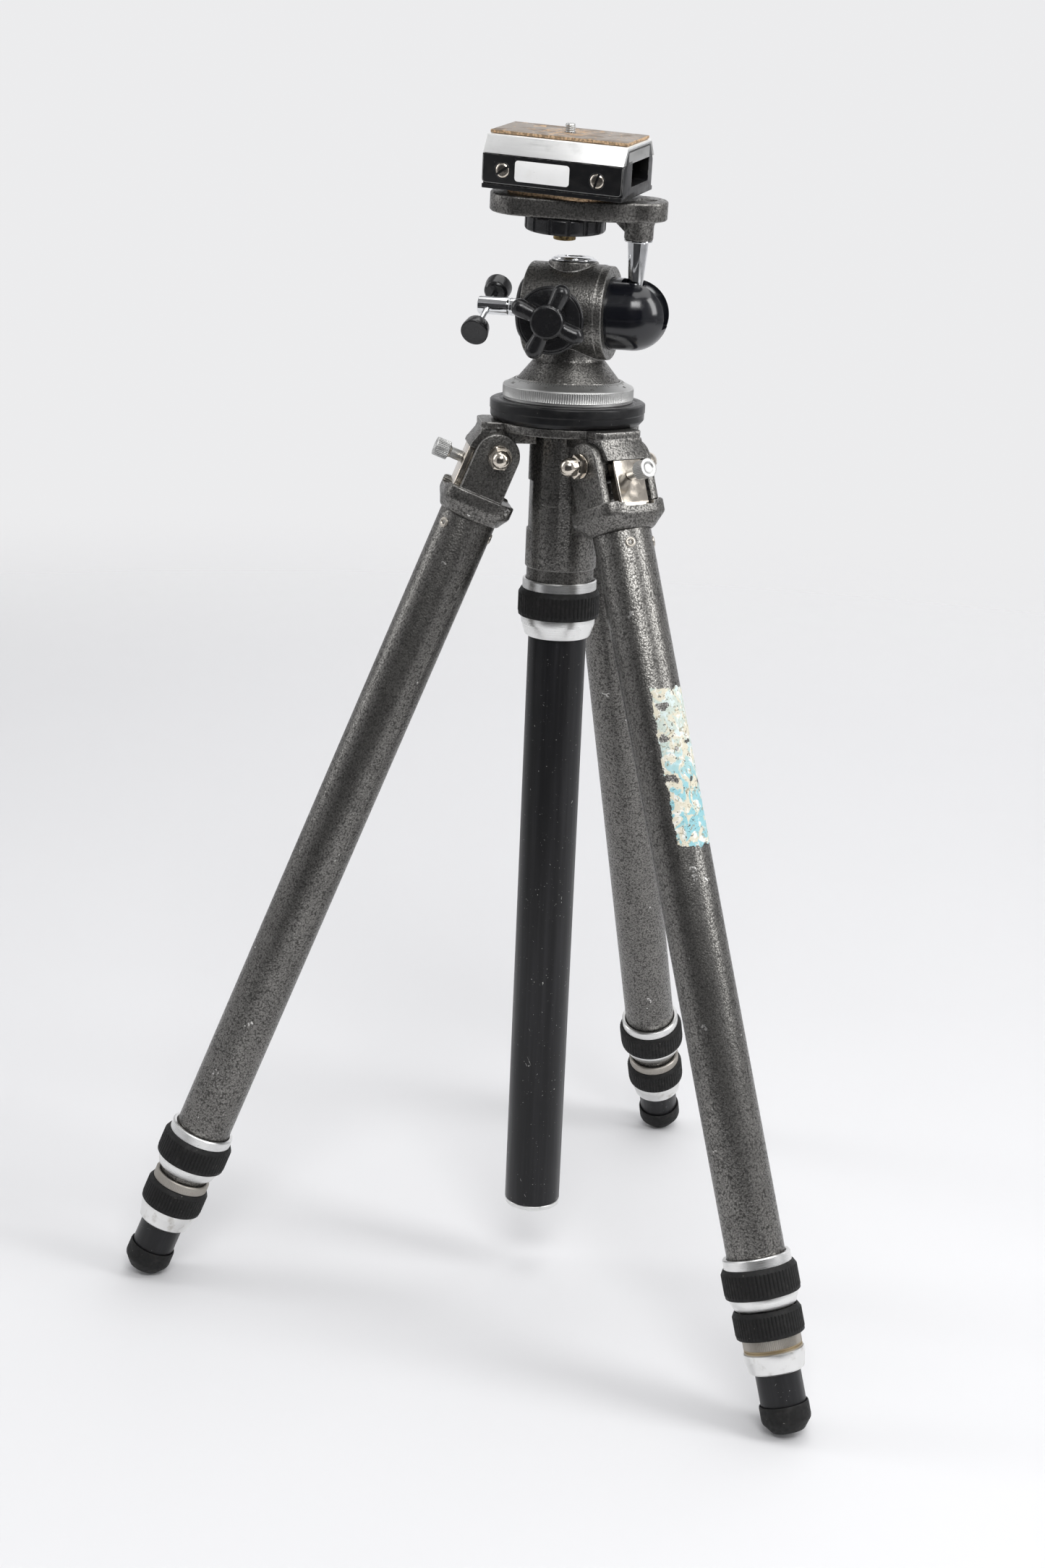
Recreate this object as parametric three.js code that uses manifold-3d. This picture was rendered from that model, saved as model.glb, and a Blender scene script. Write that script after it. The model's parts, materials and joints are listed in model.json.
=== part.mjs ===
// Photographic tripod with a centre column, an offset ball head and a camera adapter block.
// Millimetres, +Z up. The origin is on the floor under the column axis; the rear leg lies over +Y.
import * as THREE from 'three';
import { mergeVertices } from 'three/addons/utils/BufferGeometryUtils.js';
import Module from 'manifold-3d';

const wasm = await Module();
wasm.setup();

// ---------------------------------------------------------------- driving dimensions

const GAP = 0.3; // clearance between pieces that touch or run on each other
const DEG = Math.PI / 180;
const RIGHT_ANGLE = Math.PI / 2;
const FINE = 28; // sides of the large round pieces
const ROUND = 20; // sides of the tubes and collars
const COARSE = 12; // sides of the small round pieces

// legs
const SPLAY = 21.5 * DEG; // leg axis from the vertical
const HINGE_RADIUS = 43.5; // hinge pin from the column axis
const LEG_AZIMUTH = { left: 210 * DEG, right: 330 * DEG, rear: 90 * DEG };
const UPPER_R = 18;
const MIDDLE_R = 16;
const LOWER_R = 14;
const TUBE_WALL = 1.5;
const UPPER_LENGTH = 470.7;
const MIDDLE_LENGTH = 470;
const LOWER_LENGTH = 495;
const LEG_SHOWN = 59; // first nut to foot on the closed leg
const MIDDLE_SHOWN = { left: 4, right: 3, rear: 6 }; // bare middle tube between the two nuts
const GRIP_CREEP = { left: 0, right: 9, rear: 0 }; // how far the second grip has slid up its nut

// yoke at the top of each leg, from the hinge pin
const EAR_OUTER = 21.5; // half width over the ears
const EAR_THICK = 5.5;
const EAR_R = 13.8;
const EAR_SHIFT = 1.2; // ear centre outward from the pin
const PIN_R = 4.5;
const DOME_NUT_R = 7.4;
const DOME_NUT_LENGTH = 14.5;
const COLLAR_TOP = 26;
const COLLAR_CREST = 34;
const COLLAR_BOTTOM = 43;
const COLLAR_HALF = 22.6;
const COLLAR_WIDEN = 1.07; // the collar is wider across the pin
const COLLAR_SQUARENESS = 4.5; // exponent of its rounded-square outline
const WINDOW_FLOOR = 27.5;
const TUBE_SEAT = 34;

// latch that props the leg against its lug
const LATCH_HALF = 11;
const LATCH_THICK = 2;
const LATCH_FACE = 18.3; // outer face from the leg axis
const LATCH_TOP = 1.5; // below the pin
const LATCH_BOTTOM = 29.5;
const LATCH_FLANGE = 4;
const PULL_DROP = 10.5;
const PULL_STEM_R = 3.4;
const PULL_STEM = 9;
const PULL_HEAD_R = 5.8;
const PULL_HEAD = 9;

// twist locks
const NUT1_LENGTH = 32;
const NUT1_WALL = 2.6;
const NUT1_TAIL = 7.5; // bright taper below the grip
const GRIP1_THICK = 2.8;
const NUT2_LENGTH = 36;
const NUT2_WALL = 2.3;
const NUT2_TAIL = 12.5;
const GRIP2_THICK = 2.4;
const NUT_RING = 6; // bright ring above the grip
const GRIP_SEAT = 0.6; // depth of the grip's seat
const NUT_OVERLAP = 18; // tube inside the nut that it carries

// feet
const FOOT_WALL = 1.3;
const FOOT_RIM = 10;
const FOOT_TIP_R = 10;
const FOOT_CONE = 7;

// spider and column, heights from the hinge pins
const SPIDER_R = 44.8;
const SPIDER_TOP = 21;
const SPIDER_PLATE = 5.5;
const LUG_R = 11.6;
const LUG_ROOT = 8; // underside of the web between lug and sleeve, above the pin
const SHELF_R = 54.6;
const SHELF_HALF = 17.3;
const SHELF_THICK = 4;
const SLEEVE_R = 22.4;
const SLEEVE_FLAT = 20.4; // flats on the sleeve that take the folded yokes, from the axis
const SLEEVE_FLAT_TOP = -16;
const SLEEVE_BOTTOM = -70.5;
const NECK_R = 21.2;
const NECK_SHOWN = 7.5;
const NECK_HIDDEN = 12;
const COLUMN_R = 18.4;
const COLUMN_WALL = 2;
const COLUMN_LENGTH = 527;
const COLUMN_CAP = 3;
const PLUG = 14; // how deep a plug sits in the column tube
const COLUMN_NUT_LENGTH = 36.5;
const COLUMN_NUT_WALL = 1.9;
const COLUMN_NUT_TAIL = 12.5;
const COLUMN_GRIP_THICK = 2.7;
const PLATFORM_R = 48.1;
const PLATFORM_THICK = 12.7;
const PLATFORM_CHAMFER = 2.5;

// head, heights from the barrel axis
const HEAD_YAW = 7 * DEG; // how far the head is panned
const AXIS_RISE = 54; // barrel axis above the platform
const PAN_R = 40.5;
const PAN_RIM = 8.7;
const PAN_BEVEL = 3.8;
const BASE_R = 31.5;
const CONE_TOP_R = 21;
const CONE_RISE = 12;
const BARREL_R = 21.6;
const BARREL_REACH = 39; // ball centre from the column axis
const HOUSING_R = 28.75;
const HOUSING_HALF = 25.5;
const BOSS_R = 15.4;
const BOSS_TOP = 30;
const LEVEL_R = 13.8;
const LEVEL_THICK = 2.6;
const END_CAP_R = 19.5;
const END_CAP_THICK = 6;
const ROD_R = 5.5;
const ROD_LENGTH = 27;
const CROSS_R = 1.9;
const CROSS_FRONT = 32.8; // the bar has slid forward: rod axis to the outer end of the front knob
const CROSS_REAR = 23.5;
const CROSS_FROM_END = 6;
const CROSS_TURN = -64 * DEG;
const CROSS_KNOB_R = 8.5;
const CROSS_KNOB_LENGTH = 9.6;
const STAR_SHIFT = -9.2; // star knob axis along the barrel
const STAR_DROP = 3.5; // and below the barrel axis
const STAR_CANT = 8 * DEG; // turned towards the barrel's round end
const STAR_STAND = 3.3; // skirt clear of the housing
const STAR_SHAFT_R = 4;
const SKIRT_R = 20.5;
const SKIRT_RIM = 3;
const SKIRT_RISE = 8;
const HUB_R = 10.2;
const HUB_FRONT = 49;
const ARM_R = 5.4;
const ARM_REACH = 18.6;
const ARM_OUT = 41.5; // arm axis from the barrel axis
const ARM_TURN = 66 * DEG;
const ARMS = 4;

// stem and camera plate, from the ball centre
const TILT_FRONT = 6.5 * DEG; // how far the barrel is turned towards the star knob
const TILT_END = 2.4 * DEG; // how far the stem leans towards the end of the barrel
const PLATE_TURN = 6.3 * DEG; // how far the plate has swivelled on the stem
const BLOCK_TURN = -10.9 * DEG; // how far the block has turned on the plate
const BALL_R = 17;
const SLOT_HALF = 6.9;
const STEM_R = 4.7;
const STEM_TOP_R = 6.4;
const PLATE_UNDER = 57.8;
const PLATE_THICK = 11.4;
const PLATE_BOSS_R = 8.8;
const PLATE_BOSS_FLARE = 10.2;
const PLATE_BOSS = 13.2;
const PLATE_LEFT = -90.7;
const PLATE_RIGHT = 16.5;
const PLATE_HALF = 24;
const PLATE_CORNER = 20;
const EAR_END_R = 15;
const PLATE_WAIST = -14;
const SCREW_X = -45; // fixing screw from the stem axis
const WHEEL_R = 24.6;
const WHEEL_THICK = 9.5;
const WHEEL_NOTCHES = 14;
const NOTCH_R = 2;
const SCREW_R = 4.7;
const SCREW_HEAD_R = 6.8;
const SCREW_HEAD = 3.4;
const SCREW_BITE = 6; // thread inside the adapter block

// adapter block, from its underside
const SEAT_CORK = 3.1; // cork washer between plate and block
const TOP_CORK = 1.9;
const PAD_INSET = 2.2; // top cork from the edges of the bevels
const PAD_END_INSET = 1;
const BLOCK_LENGTH = 88;
const BLOCK_DEPTH = 57.5;
const BLOCK_HEIGHT = 30.8;
const BEVEL_IN = 6.6;
const BEVEL_DOWN = 10.3;
const HOOD_THICK = 1.6;
const HOOD_SKIRT = 1.5;
const COVER_THICK = 1.8;
const COVER_BOTTOM = 3;
const COVER_CORNER = 3;
const CHANNEL_FRONT = -12; // channel walls from the screw axis, front to back
const CHANNEL_BACK = 19;
const CHANNEL_TOP_FRONT = -19;
const CHANNEL_FLOOR = 8;
const CHANNEL_STEP = 21.5;
const CHANNEL_ROOF = 26;
const CAMERA_SCREW_R = 3.175; // quarter-inch camera thread
const CAMERA_SCREW_RISE = 5.2;
const CAMERA_SCREW_HEAD_R = 8;
const CAMERA_SCREW_HEAD = 3;

// ---------------------------------------------------------------- derived places

const EAR_INNER = EAR_OUTER - EAR_THICK;
const LUG_HALF = EAR_INNER - GAP;
const UPPER_END = TUBE_SEAT + GAP + UPPER_LENGTH;
const NUT1_TOP = UPPER_END - NUT_OVERLAP;
const NUT1_BOTTOM = NUT1_TOP + NUT1_LENGTH;
const FOOT_TOP = NUT1_BOTTOM + LEG_SHOWN;
const FOOT_TIP = FOOT_TOP + FOOT_RIM + FOOT_CONE;
const HINGE_HEIGHT = FOOT_TIP * Math.cos(SPLAY) + FOOT_TIP_R * Math.sin(SPLAY);
const NECK_BOTTOM = SLEEVE_BOTTOM - NECK_SHOWN - NECK_HIDDEN;
const PLATFORM_BOTTOM = SPIDER_TOP + GAP;
const PLATFORM_TOP = PLATFORM_BOTTOM + PLATFORM_THICK;
const AXIS_HEIGHT = HINGE_HEIGHT + PLATFORM_TOP + AXIS_RISE;
const PAN_BOTTOM = GAP - AXIS_RISE;
const PLATE_TOP = PLATE_UNDER + PLATE_THICK;
const BLOCK_BOTTOM = PLATE_TOP + SEAT_CORK;
const BLOCK_TOP = BLOCK_BOTTOM + BLOCK_HEIGHT;
const BARREL_LEFT = -HOUSING_HALF - GAP;

// ---------------------------------------------------------------- finishes

function finish(colour, roughness, metalness) {
  return new THREE.MeshStandardMaterial({ color: colour, roughness, metalness });
}

const HAMMERTONE = finish(0x55544f, 0.45, 0.5);
const BLACK_ANODISED = finish(0x17181a, 0.4, 0.3);
const BRIGHT_ALUMINIUM = finish(0xdcdddc, 0.3, 0.9);
const SATIN_ALUMINIUM = finish(0xa9aaa8, 0.4, 0.8);
const NICKEL = finish(0xb5aa98, 0.25, 0.9);
const CHROME = finish(0xe2e4e6, 0.08, 1);
const BAKELITE = finish(0x202022, 0.35, 0);
const RUBBER = finish(0x141414, 0.75, 0);
const CORK_PAD = finish(0x9a7c5c, 0.9, 0);
const BRASS = finish(0x7a6a3c, 0.5, 0.8);
const BLACK_PAINT = finish(0x26272a, 0.3, 0.2);

// ---------------------------------------------------------------- shape helpers

// Keeps positions only, joins shared corners and drops collapsed triangles.
function closed(geometry) {
  const bare = geometry.clone();
  bare.deleteAttribute('normal');
  bare.deleteAttribute('uv');
  const merged = mergeVertices(bare, 1e-4);
  const index = merged.index.array;
  const kept = [];
  for (let i = 0; i < index.length; i += 3) {
    const [a, b, c] = [index[i], index[i + 1], index[i + 2]];
    if (a !== b && b !== c && c !== a) kept.push(a, b, c);
  }
  merged.setIndex(kept);
  return merged;
}

function solid(geometry) {
  const tidy = closed(geometry);
  const vertProperties = new Float32Array(tidy.attributes.position.array);
  const triVerts = new Uint32Array(tidy.index.array);
  return new wasm.Manifold(new wasm.Mesh({ numProp: 3, vertProperties, triVerts }));
}

function surface(manifold) {
  const { vertProperties, triVerts } = manifold.getMesh();
  const geometry = new THREE.BufferGeometry();
  geometry.setAttribute('position', new THREE.BufferAttribute(vertProperties, 3));
  geometry.setIndex(new THREE.BufferAttribute(triVerts, 1));
  return geometry;
}

function joined(...geometries) {
  return surface(geometries.map(solid).reduce((all, next) => all.add(next)));
}

function cut(body, ...tools) {
  return surface(tools.map(solid).reduce((left, tool) => left.subtract(tool), solid(body)));
}

// A profile of [radius, height] pairs turned about +Z, listed upwards and round anticlockwise.
function turned(profile, sides = ROUND) {
  const points = profile.map(([r, z]) => new THREE.Vector2(r, z));
  return closed(new THREE.LatheGeometry(points, sides).rotateX(RIGHT_ANGLE));
}

function ring(inner, outer, low, high, chamfer = 0, sides = ROUND) {
  return turned([
    [inner, low],
    [outer - chamfer, low],
    [outer, low + chamfer],
    [outer, high - chamfer],
    [outer - chamfer, high],
    [inner, high],
    [inner, low],
  ], sides);
}

function rod(radius, low, high, sides = ROUND) {
  return closed(new THREE.CylinderGeometry(radius, radius, high - low, sides)
    .rotateX(RIGHT_ANGLE).translate(0, 0, (low + high) / 2));
}

function box(x, y, z) {
  return new THREE.BoxGeometry(x[1] - x[0], y[1] - y[0], z[1] - z[0])
    .translate((x[0] + x[1]) / 2, (y[0] + y[1]) / 2, (z[0] + z[1]) / 2);
}

// A shape drawn in the XZ plane, made thick along Y.
function slabAlongY(shape, low, high, curveSegments = 8) {
  const settings = { depth: high - low, bevelEnabled: false, curveSegments };
  return new THREE.ExtrudeGeometry(shape, settings).rotateX(RIGHT_ANGLE).translate(0, high, 0);
}

// A shape drawn in the YZ plane, made thick along X.
function slabAlongX(shape, low, high, curveSegments = 8) {
  return slabAlongY(shape, -high, -low, curveSegments).rotateZ(RIGHT_ANGLE);
}

// A shape drawn in the XY plane, made thick along Z.
function slabAlongZ(shape, low, high, curveSegments = 8) {
  const settings = { depth: high - low, bevelEnabled: false, curveSegments };
  return new THREE.ExtrudeGeometry(shape, settings).translate(0, 0, low);
}

function outline(points) {
  return new THREE.Shape(points.map(([x, y]) => new THREE.Vector2(x, y)));
}

function toX(geometry) {
  return geometry.rotateY(RIGHT_ANGLE);
}

function toFront(geometry) {
  return geometry.rotateX(RIGHT_ANGLE);
}

function add(parent, name, geometry, material) {
  const mesh = new THREE.Mesh(closed(geometry), material);
  mesh.name = name;
  parent.add(mesh);
  return mesh;
}

function group(parent, place = {}) {
  const made = new THREE.Group();
  if (place.position) made.position.set(...place.position);
  if (place.rotation) made.rotation.set(...place.rotation);
  parent.add(made);
  return made;
}

const tripod = new THREE.Group();

// ---------------------------------------------------------------- twist locks

// A nut that is bored for the tube above it and for the thinner tube that it clamps.
function lockNut({ top, length, upperBore, lowerBore, wall, tail, step }) {
  const bottom = top - length;
  const crest = upperBore + wall;
  const seat = crest - GRIP_SEAT;
  return turned([
    [lowerBore, bottom],
    [lowerBore + wall, bottom],
    [crest, bottom + tail],
    [seat, bottom + tail],
    [seat, top - NUT_RING],
    [crest, top - NUT_RING],
    [crest, top - GRIP_SEAT],
    [crest - GRIP_SEAT, top],
    [upperBore, top],
    [upperBore, step],
    [lowerBore, step],
    [lowerBore, bottom],
  ]);
}

// A rubber sleeve in the nut's seat; one that has crept up is stretched over the ring above it.
function lockGrip({ top, length, upperBore, wall, tail, thick, creep = 0 }) {
  const seated = creep > 0 ? 0 : GRIP_SEAT;
  const inner = upperBore + wall - seated + GAP;
  const low = top - length + tail + GAP + creep;
  const high = top - NUT_RING - GAP + creep;
  return ring(inner, inner + thick, low, high, GRIP_SEAT);
}

// ---------------------------------------------------------------- legs

function earShape() {
  const shape = new THREE.Shape();
  shape.moveTo(EAR_SHIFT - EAR_R, -COLLAR_TOP - GAP);
  shape.lineTo(EAR_SHIFT - EAR_R, 0);
  shape.absarc(EAR_SHIFT, 0, EAR_R, Math.PI, 0, true);
  shape.lineTo(EAR_SHIFT + EAR_R, -COLLAR_TOP - GAP);
  return shape;
}

// Turns a round collar into a rounded square that eases back to a circle at its lower edge.
function squareCollar() {
  const collar = turned([
    [0, -COLLAR_BOTTOM],
    [UPPER_R + FOOT_WALL, -COLLAR_BOTTOM],
    [COLLAR_HALF, -COLLAR_CREST],
    [COLLAR_HALF, -COLLAR_TOP - 2],
    [COLLAR_HALF - 1, -COLLAR_TOP],
    [0, -COLLAR_TOP],
  ], FINE);
  const position = collar.attributes.position;
  for (let i = 0; i < position.count; i += 1) {
    const [x, y, z] = [position.getX(i), position.getY(i), position.getZ(i)];
    const round = THREE.MathUtils.clamp((-z - COLLAR_CREST) / (COLLAR_BOTTOM - COLLAR_CREST), 0, 1);
    const power = THREE.MathUtils.lerp(COLLAR_SQUARENESS, 2, round);
    const angle = Math.atan2(y, x);
    const spread = Math.abs(Math.cos(angle)) ** power + Math.abs(Math.sin(angle)) ** power;
    const scale = spread ** (-1 / power);
    const widen = THREE.MathUtils.lerp(COLLAR_WIDEN, 1, round);
    position.setXYZ(i, x * scale, y * scale * widen, z);
  }
  return collar;
}

function yoke() {
  const ears = [-1, 1].map((side) => {
    const [low, high] = side < 0 ? [-EAR_OUTER, -EAR_INNER] : [EAR_INNER, EAR_OUTER];
    return slabAlongY(earShape(), low, high);
  });
  const reach = HINGE_RADIUS;
  const latchRecess = LATCH_FACE - LATCH_THICK - GAP;
  return cut(
    joined(squareCollar(), ...ears),
    box([-reach, reach], [-EAR_INNER, EAR_INNER], [-WINDOW_FLOOR, 0]),
    box([latchRecess, reach], [-LATCH_HALF - GAP, LATCH_HALF + GAP], [-LATCH_BOTTOM - GAP, 0]),
    rod(UPPER_R + GAP, -COLLAR_BOTTOM - 1, -TUBE_SEAT),
    toFront(rod(PIN_R + GAP, -EAR_OUTER - 1, EAR_OUTER + 1, COARSE)),
  );
}

function hingeBolt() {
  const face = EAR_OUTER + GAP;
  const tip = face + DOME_NUT_LENGTH;
  const hexEnd = face + DOME_NUT_LENGTH / 3;
  const domeR = DOME_NUT_R * 0.77;
  const half = [
    [domeR * 0.5, tip - domeR * 0.13],
    [domeR * 0.87, tip - domeR * 0.5],
    [domeR, tip - domeR],
    [domeR, hexEnd + 1],
    [DOME_NUT_R, hexEnd],
    [DOME_NUT_R, face],
    [PIN_R, face],
  ];
  const mirrored = half.map(([r, z]) => [r, -z]);
  const profile = [[0, -tip], ...mirrored, ...half.reverse(), [0, tip]];
  return toFront(turned(profile, COARSE));
}

function latchPlate() {
  const inside = LATCH_FACE - LATCH_THICK;
  const height = [-LATCH_BOTTOM, -LATCH_TOP];
  const flangeHeight = [-WINDOW_FLOOR + GAP, -LATCH_TOP];
  const flanges = [-1, 1].map((side) => {
    const edges = [side * LATCH_HALF, side * (LATCH_HALF - LATCH_THICK)].sort((a, b) => a - b);
    return box([inside - LATCH_FLANGE, inside + GAP], edges, flangeHeight);
  });
  return joined(box([inside, LATCH_FACE], [-LATCH_HALF, LATCH_HALF], height), ...flanges);
}

function pullKnob() {
  const start = LATCH_FACE + GAP;
  const shoulder = start + PULL_STEM;
  const end = shoulder + PULL_HEAD;
  return toX(turned([
    [0, start],
    [PULL_STEM_R, start],
    [PULL_STEM_R, shoulder],
    [PULL_HEAD_R - GRIP_SEAT, shoulder],
    [PULL_HEAD_R, shoulder + GRIP_SEAT],
    [PULL_HEAD_R, end - GRIP_SEAT],
    [PULL_HEAD_R - GRIP_SEAT, end],
    [PULL_STEM_R, end],
    [PULL_STEM_R - GRIP_SEAT, end - GRIP_SEAT],
    [0, end - GRIP_SEAT],
  ], COARSE)).translate(0, 0, -PULL_DROP);
}

function tube(radius, top, length) {
  return ring(radius - TUBE_WALL, radius, -top - length, -top);
}

function foot() {
  const outer = LOWER_R + FOOT_WALL;
  const bore = LOWER_R + GAP;
  return turned([
    [0, -FOOT_TIP],
    [FOOT_TIP_R, -FOOT_TIP],
    [outer, -FOOT_TIP + FOOT_CONE],
    [outer, -FOOT_TOP - GRIP_SEAT],
    [outer - GRIP_SEAT, -FOOT_TOP],
    [bore, -FOOT_TOP],
    [bore, -FOOT_TOP - FOOT_RIM],
    [0, -FOOT_TOP - FOOT_RIM],
  ]);
}

function buildLeg(side) {
  const hub = group(tripod, { position: [0, 0, HINGE_HEIGHT], rotation: [0, 0, LEG_AZIMUTH[side]] });
  const leg = group(hub, { position: [HINGE_RADIUS, 0, 0], rotation: [0, -SPLAY, 0] });
  const nut2Top = NUT1_BOTTOM + MIDDLE_SHOWN[side];
  const middleEnd = nut2Top + NUT_OVERLAP;
  const lowerEnd = FOOT_TOP + FOOT_RIM - GAP;
  const nut1 = {
    top: -NUT1_TOP,
    length: NUT1_LENGTH,
    upperBore: UPPER_R + GAP,
    lowerBore: MIDDLE_R + GAP,
    wall: NUT1_WALL,
    tail: NUT1_TAIL,
    step: -UPPER_END - GAP,
  };
  const nut2 = {
    top: -nut2Top,
    length: NUT2_LENGTH,
    upperBore: MIDDLE_R + GAP,
    lowerBore: LOWER_R + GAP,
    wall: NUT2_WALL,
    tail: NUT2_TAIL,
    step: -middleEnd - GAP,
  };
  const grip2 = { ...nut2, thick: GRIP2_THICK, creep: GRIP_CREEP[side] };
  add(leg, `${side}_yoke`, yoke(), HAMMERTONE);
  add(leg, `${side}_hinge_bolt`, hingeBolt(), NICKEL);
  add(leg, `${side}_latch_plate`, latchPlate(), NICKEL);
  add(leg, `${side}_latch_knob`, pullKnob(), BRIGHT_ALUMINIUM);
  add(leg, `${side}_upper_tube`, tube(UPPER_R, TUBE_SEAT + GAP, UPPER_LENGTH), HAMMERTONE);
  add(leg, `${side}_first_nut`, lockNut(nut1), BRIGHT_ALUMINIUM);
  add(leg, `${side}_first_grip`, lockGrip({ ...nut1, thick: GRIP1_THICK }), RUBBER);
  add(leg, `${side}_middle_tube`, tube(MIDDLE_R, middleEnd - MIDDLE_LENGTH, MIDDLE_LENGTH), HAMMERTONE);
  add(leg, `${side}_second_nut`, lockNut(nut2), BRIGHT_ALUMINIUM);
  add(leg, `${side}_second_grip`, lockGrip(grip2), RUBBER);
  add(leg, `${side}_lower_tube`, tube(LOWER_R, lowerEnd - LOWER_LENGTH, LOWER_LENGTH), BLACK_ANODISED);
  add(leg, `${side}_foot`, foot(), RUBBER);
}

Object.keys(LEG_AZIMUTH).forEach(buildLeg);

// ---------------------------------------------------------------- spider and centre column

// A point given in a splayed leg's own directions, outward and down from the pin.
function besideLeg(outward, down) {
  return [
    outward * Math.cos(SPLAY) + down * Math.sin(SPLAY),
    outward * Math.sin(SPLAY) - down * Math.cos(SPLAY),
  ];
}

// The lug between a yoke's ears; its nose rests on the top edge of the latch.
function lug() {
  const inner = SLEEVE_R - HINGE_RADIUS - 2;
  const noseOut = LATCH_FACE + GRIP_SEAT;
  const noseBottom = LATCH_TOP - GAP;
  const shelfTip = SHELF_R - HINGE_RADIUS;
  const start = besideLeg(LUG_R, noseBottom);
  const shape = new THREE.Shape();
  shape.moveTo(inner, SPIDER_TOP - SHELF_THICK);
  shape.lineTo(shelfTip - GAP, SPIDER_TOP - SHELF_THICK);
  shape.lineTo(...besideLeg(LATCH_FACE - LATCH_THICK, -9));
  shape.lineTo(...besideLeg(noseOut, -1));
  shape.lineTo(...besideLeg(noseOut, noseBottom));
  shape.lineTo(...start);
  shape.absarc(0, 0, LUG_R, Math.atan2(start[1], start[0]), -Math.PI - Math.asin(LUG_ROOT / LUG_R), true);
  shape.lineTo(inner, LUG_ROOT);
  const body = slabAlongY(shape, -LUG_HALF, LUG_HALF);
  const shelf = box([inner, shelfTip], [-SHELF_HALF, SHELF_HALF],
    [SPIDER_TOP - SHELF_THICK - GAP, SPIDER_TOP]);
  const bore = toFront(rod(PIN_R + GAP, -EAR_OUTER, EAR_OUTER, COARSE));
  return cut(joined(body, shelf), bore).translate(HINGE_RADIUS, 0, 0);
}

function spider() {
  const lugs = Object.values(LEG_AZIMUTH).map((azimuth) => lug().rotateZ(azimuth));
  const middle = turned([
    [0, NECK_BOTTOM],
    [NECK_R, NECK_BOTTOM],
    [NECK_R, SLEEVE_BOTTOM],
    [SLEEVE_R, SLEEVE_BOTTOM + GRIP_SEAT],
    [SLEEVE_R, SPIDER_TOP - SPIDER_PLATE],
    [SPIDER_R, SPIDER_TOP - SPIDER_PLATE],
    [SPIDER_R, SPIDER_TOP],
    [0, SPIDER_TOP],
  ], FINE);
  const flats = Object.values(LEG_AZIMUTH).map((azimuth) => (
    box([SLEEVE_FLAT, HINGE_RADIUS], [-SLEEVE_R, SLEEVE_R], [-COLLAR_BOTTOM - 4, SLEEVE_FLAT_TOP])
      .rotateZ(azimuth)
  ));
  const bore = rod(COLUMN_R + GAP, NECK_BOTTOM - 1, SPIDER_TOP + 1, FINE);
  return cut(joined(middle, ...lugs), bore, ...flats);
}

const columnNut = {
  top: SLEEVE_BOTTOM - NECK_SHOWN - GAP,
  length: COLUMN_NUT_LENGTH,
  upperBore: NECK_R + GAP,
  lowerBore: COLUMN_R + GAP,
  wall: COLUMN_NUT_WALL,
  tail: COLUMN_NUT_TAIL,
  step: NECK_BOTTOM - GAP,
};

function columnTube() {
  const top = PLATFORM_BOTTOM - GAP;
  return ring(COLUMN_R - COLUMN_WALL, COLUMN_R, top - COLUMN_LENGTH, top);
}

// The capped lower end of the column, with its plug inside the tube.
function columnCap() {
  const tubeEnd = PLATFORM_BOTTOM - GAP - COLUMN_LENGTH;
  const plugR = COLUMN_R - COLUMN_WALL - GAP;
  const face = tubeEnd - GAP;
  return turned([
    [0, face - COLUMN_CAP],
    [COLUMN_R - GRIP_SEAT, face - COLUMN_CAP],
    [COLUMN_R, face - COLUMN_CAP + GRIP_SEAT],
    [COLUMN_R, face],
    [plugR, face],
    [plugR, face + PLUG],
    [0, face + PLUG],
  ]);
}

function platform() {
  const plugR = COLUMN_R - COLUMN_WALL - GAP;
  return turned([
    [0, PLATFORM_BOTTOM - PLUG],
    [plugR, PLATFORM_BOTTOM - PLUG],
    [plugR, PLATFORM_BOTTOM],
    [PLATFORM_R - PLATFORM_CHAMFER, PLATFORM_BOTTOM],
    [PLATFORM_R, PLATFORM_BOTTOM + PLATFORM_CHAMFER],
    [PLATFORM_R, PLATFORM_TOP - 1],
    [PLATFORM_R - 1, PLATFORM_TOP],
    [0, PLATFORM_TOP],
  ], FINE);
}

const middle = group(tripod, { position: [0, 0, HINGE_HEIGHT] });
add(middle, 'spider', spider(), HAMMERTONE);
add(middle, 'column_nut', lockNut(columnNut), BRIGHT_ALUMINIUM);
add(middle, 'column_grip', lockGrip({ ...columnNut, thick: COLUMN_GRIP_THICK }), RUBBER);
add(middle, 'column_tube', columnTube(), BLACK_ANODISED);
add(middle, 'column_cap', columnCap(), BRIGHT_ALUMINIUM);
add(middle, 'platform', platform(), BLACK_PAINT);

// ---------------------------------------------------------------- head

function panRing() {
  const inner = BASE_R + GAP;
  const rimTop = PAN_BOTTOM + PAN_RIM;
  return turned([
    [inner, PAN_BOTTOM],
    [PAN_R, PAN_BOTTOM],
    [PAN_R, rimTop],
    [PAN_R - 1, rimTop + GAP],
    [inner, rimTop + PAN_BEVEL],
    [inner, PAN_BOTTOM],
  ], FINE);
}

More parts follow.
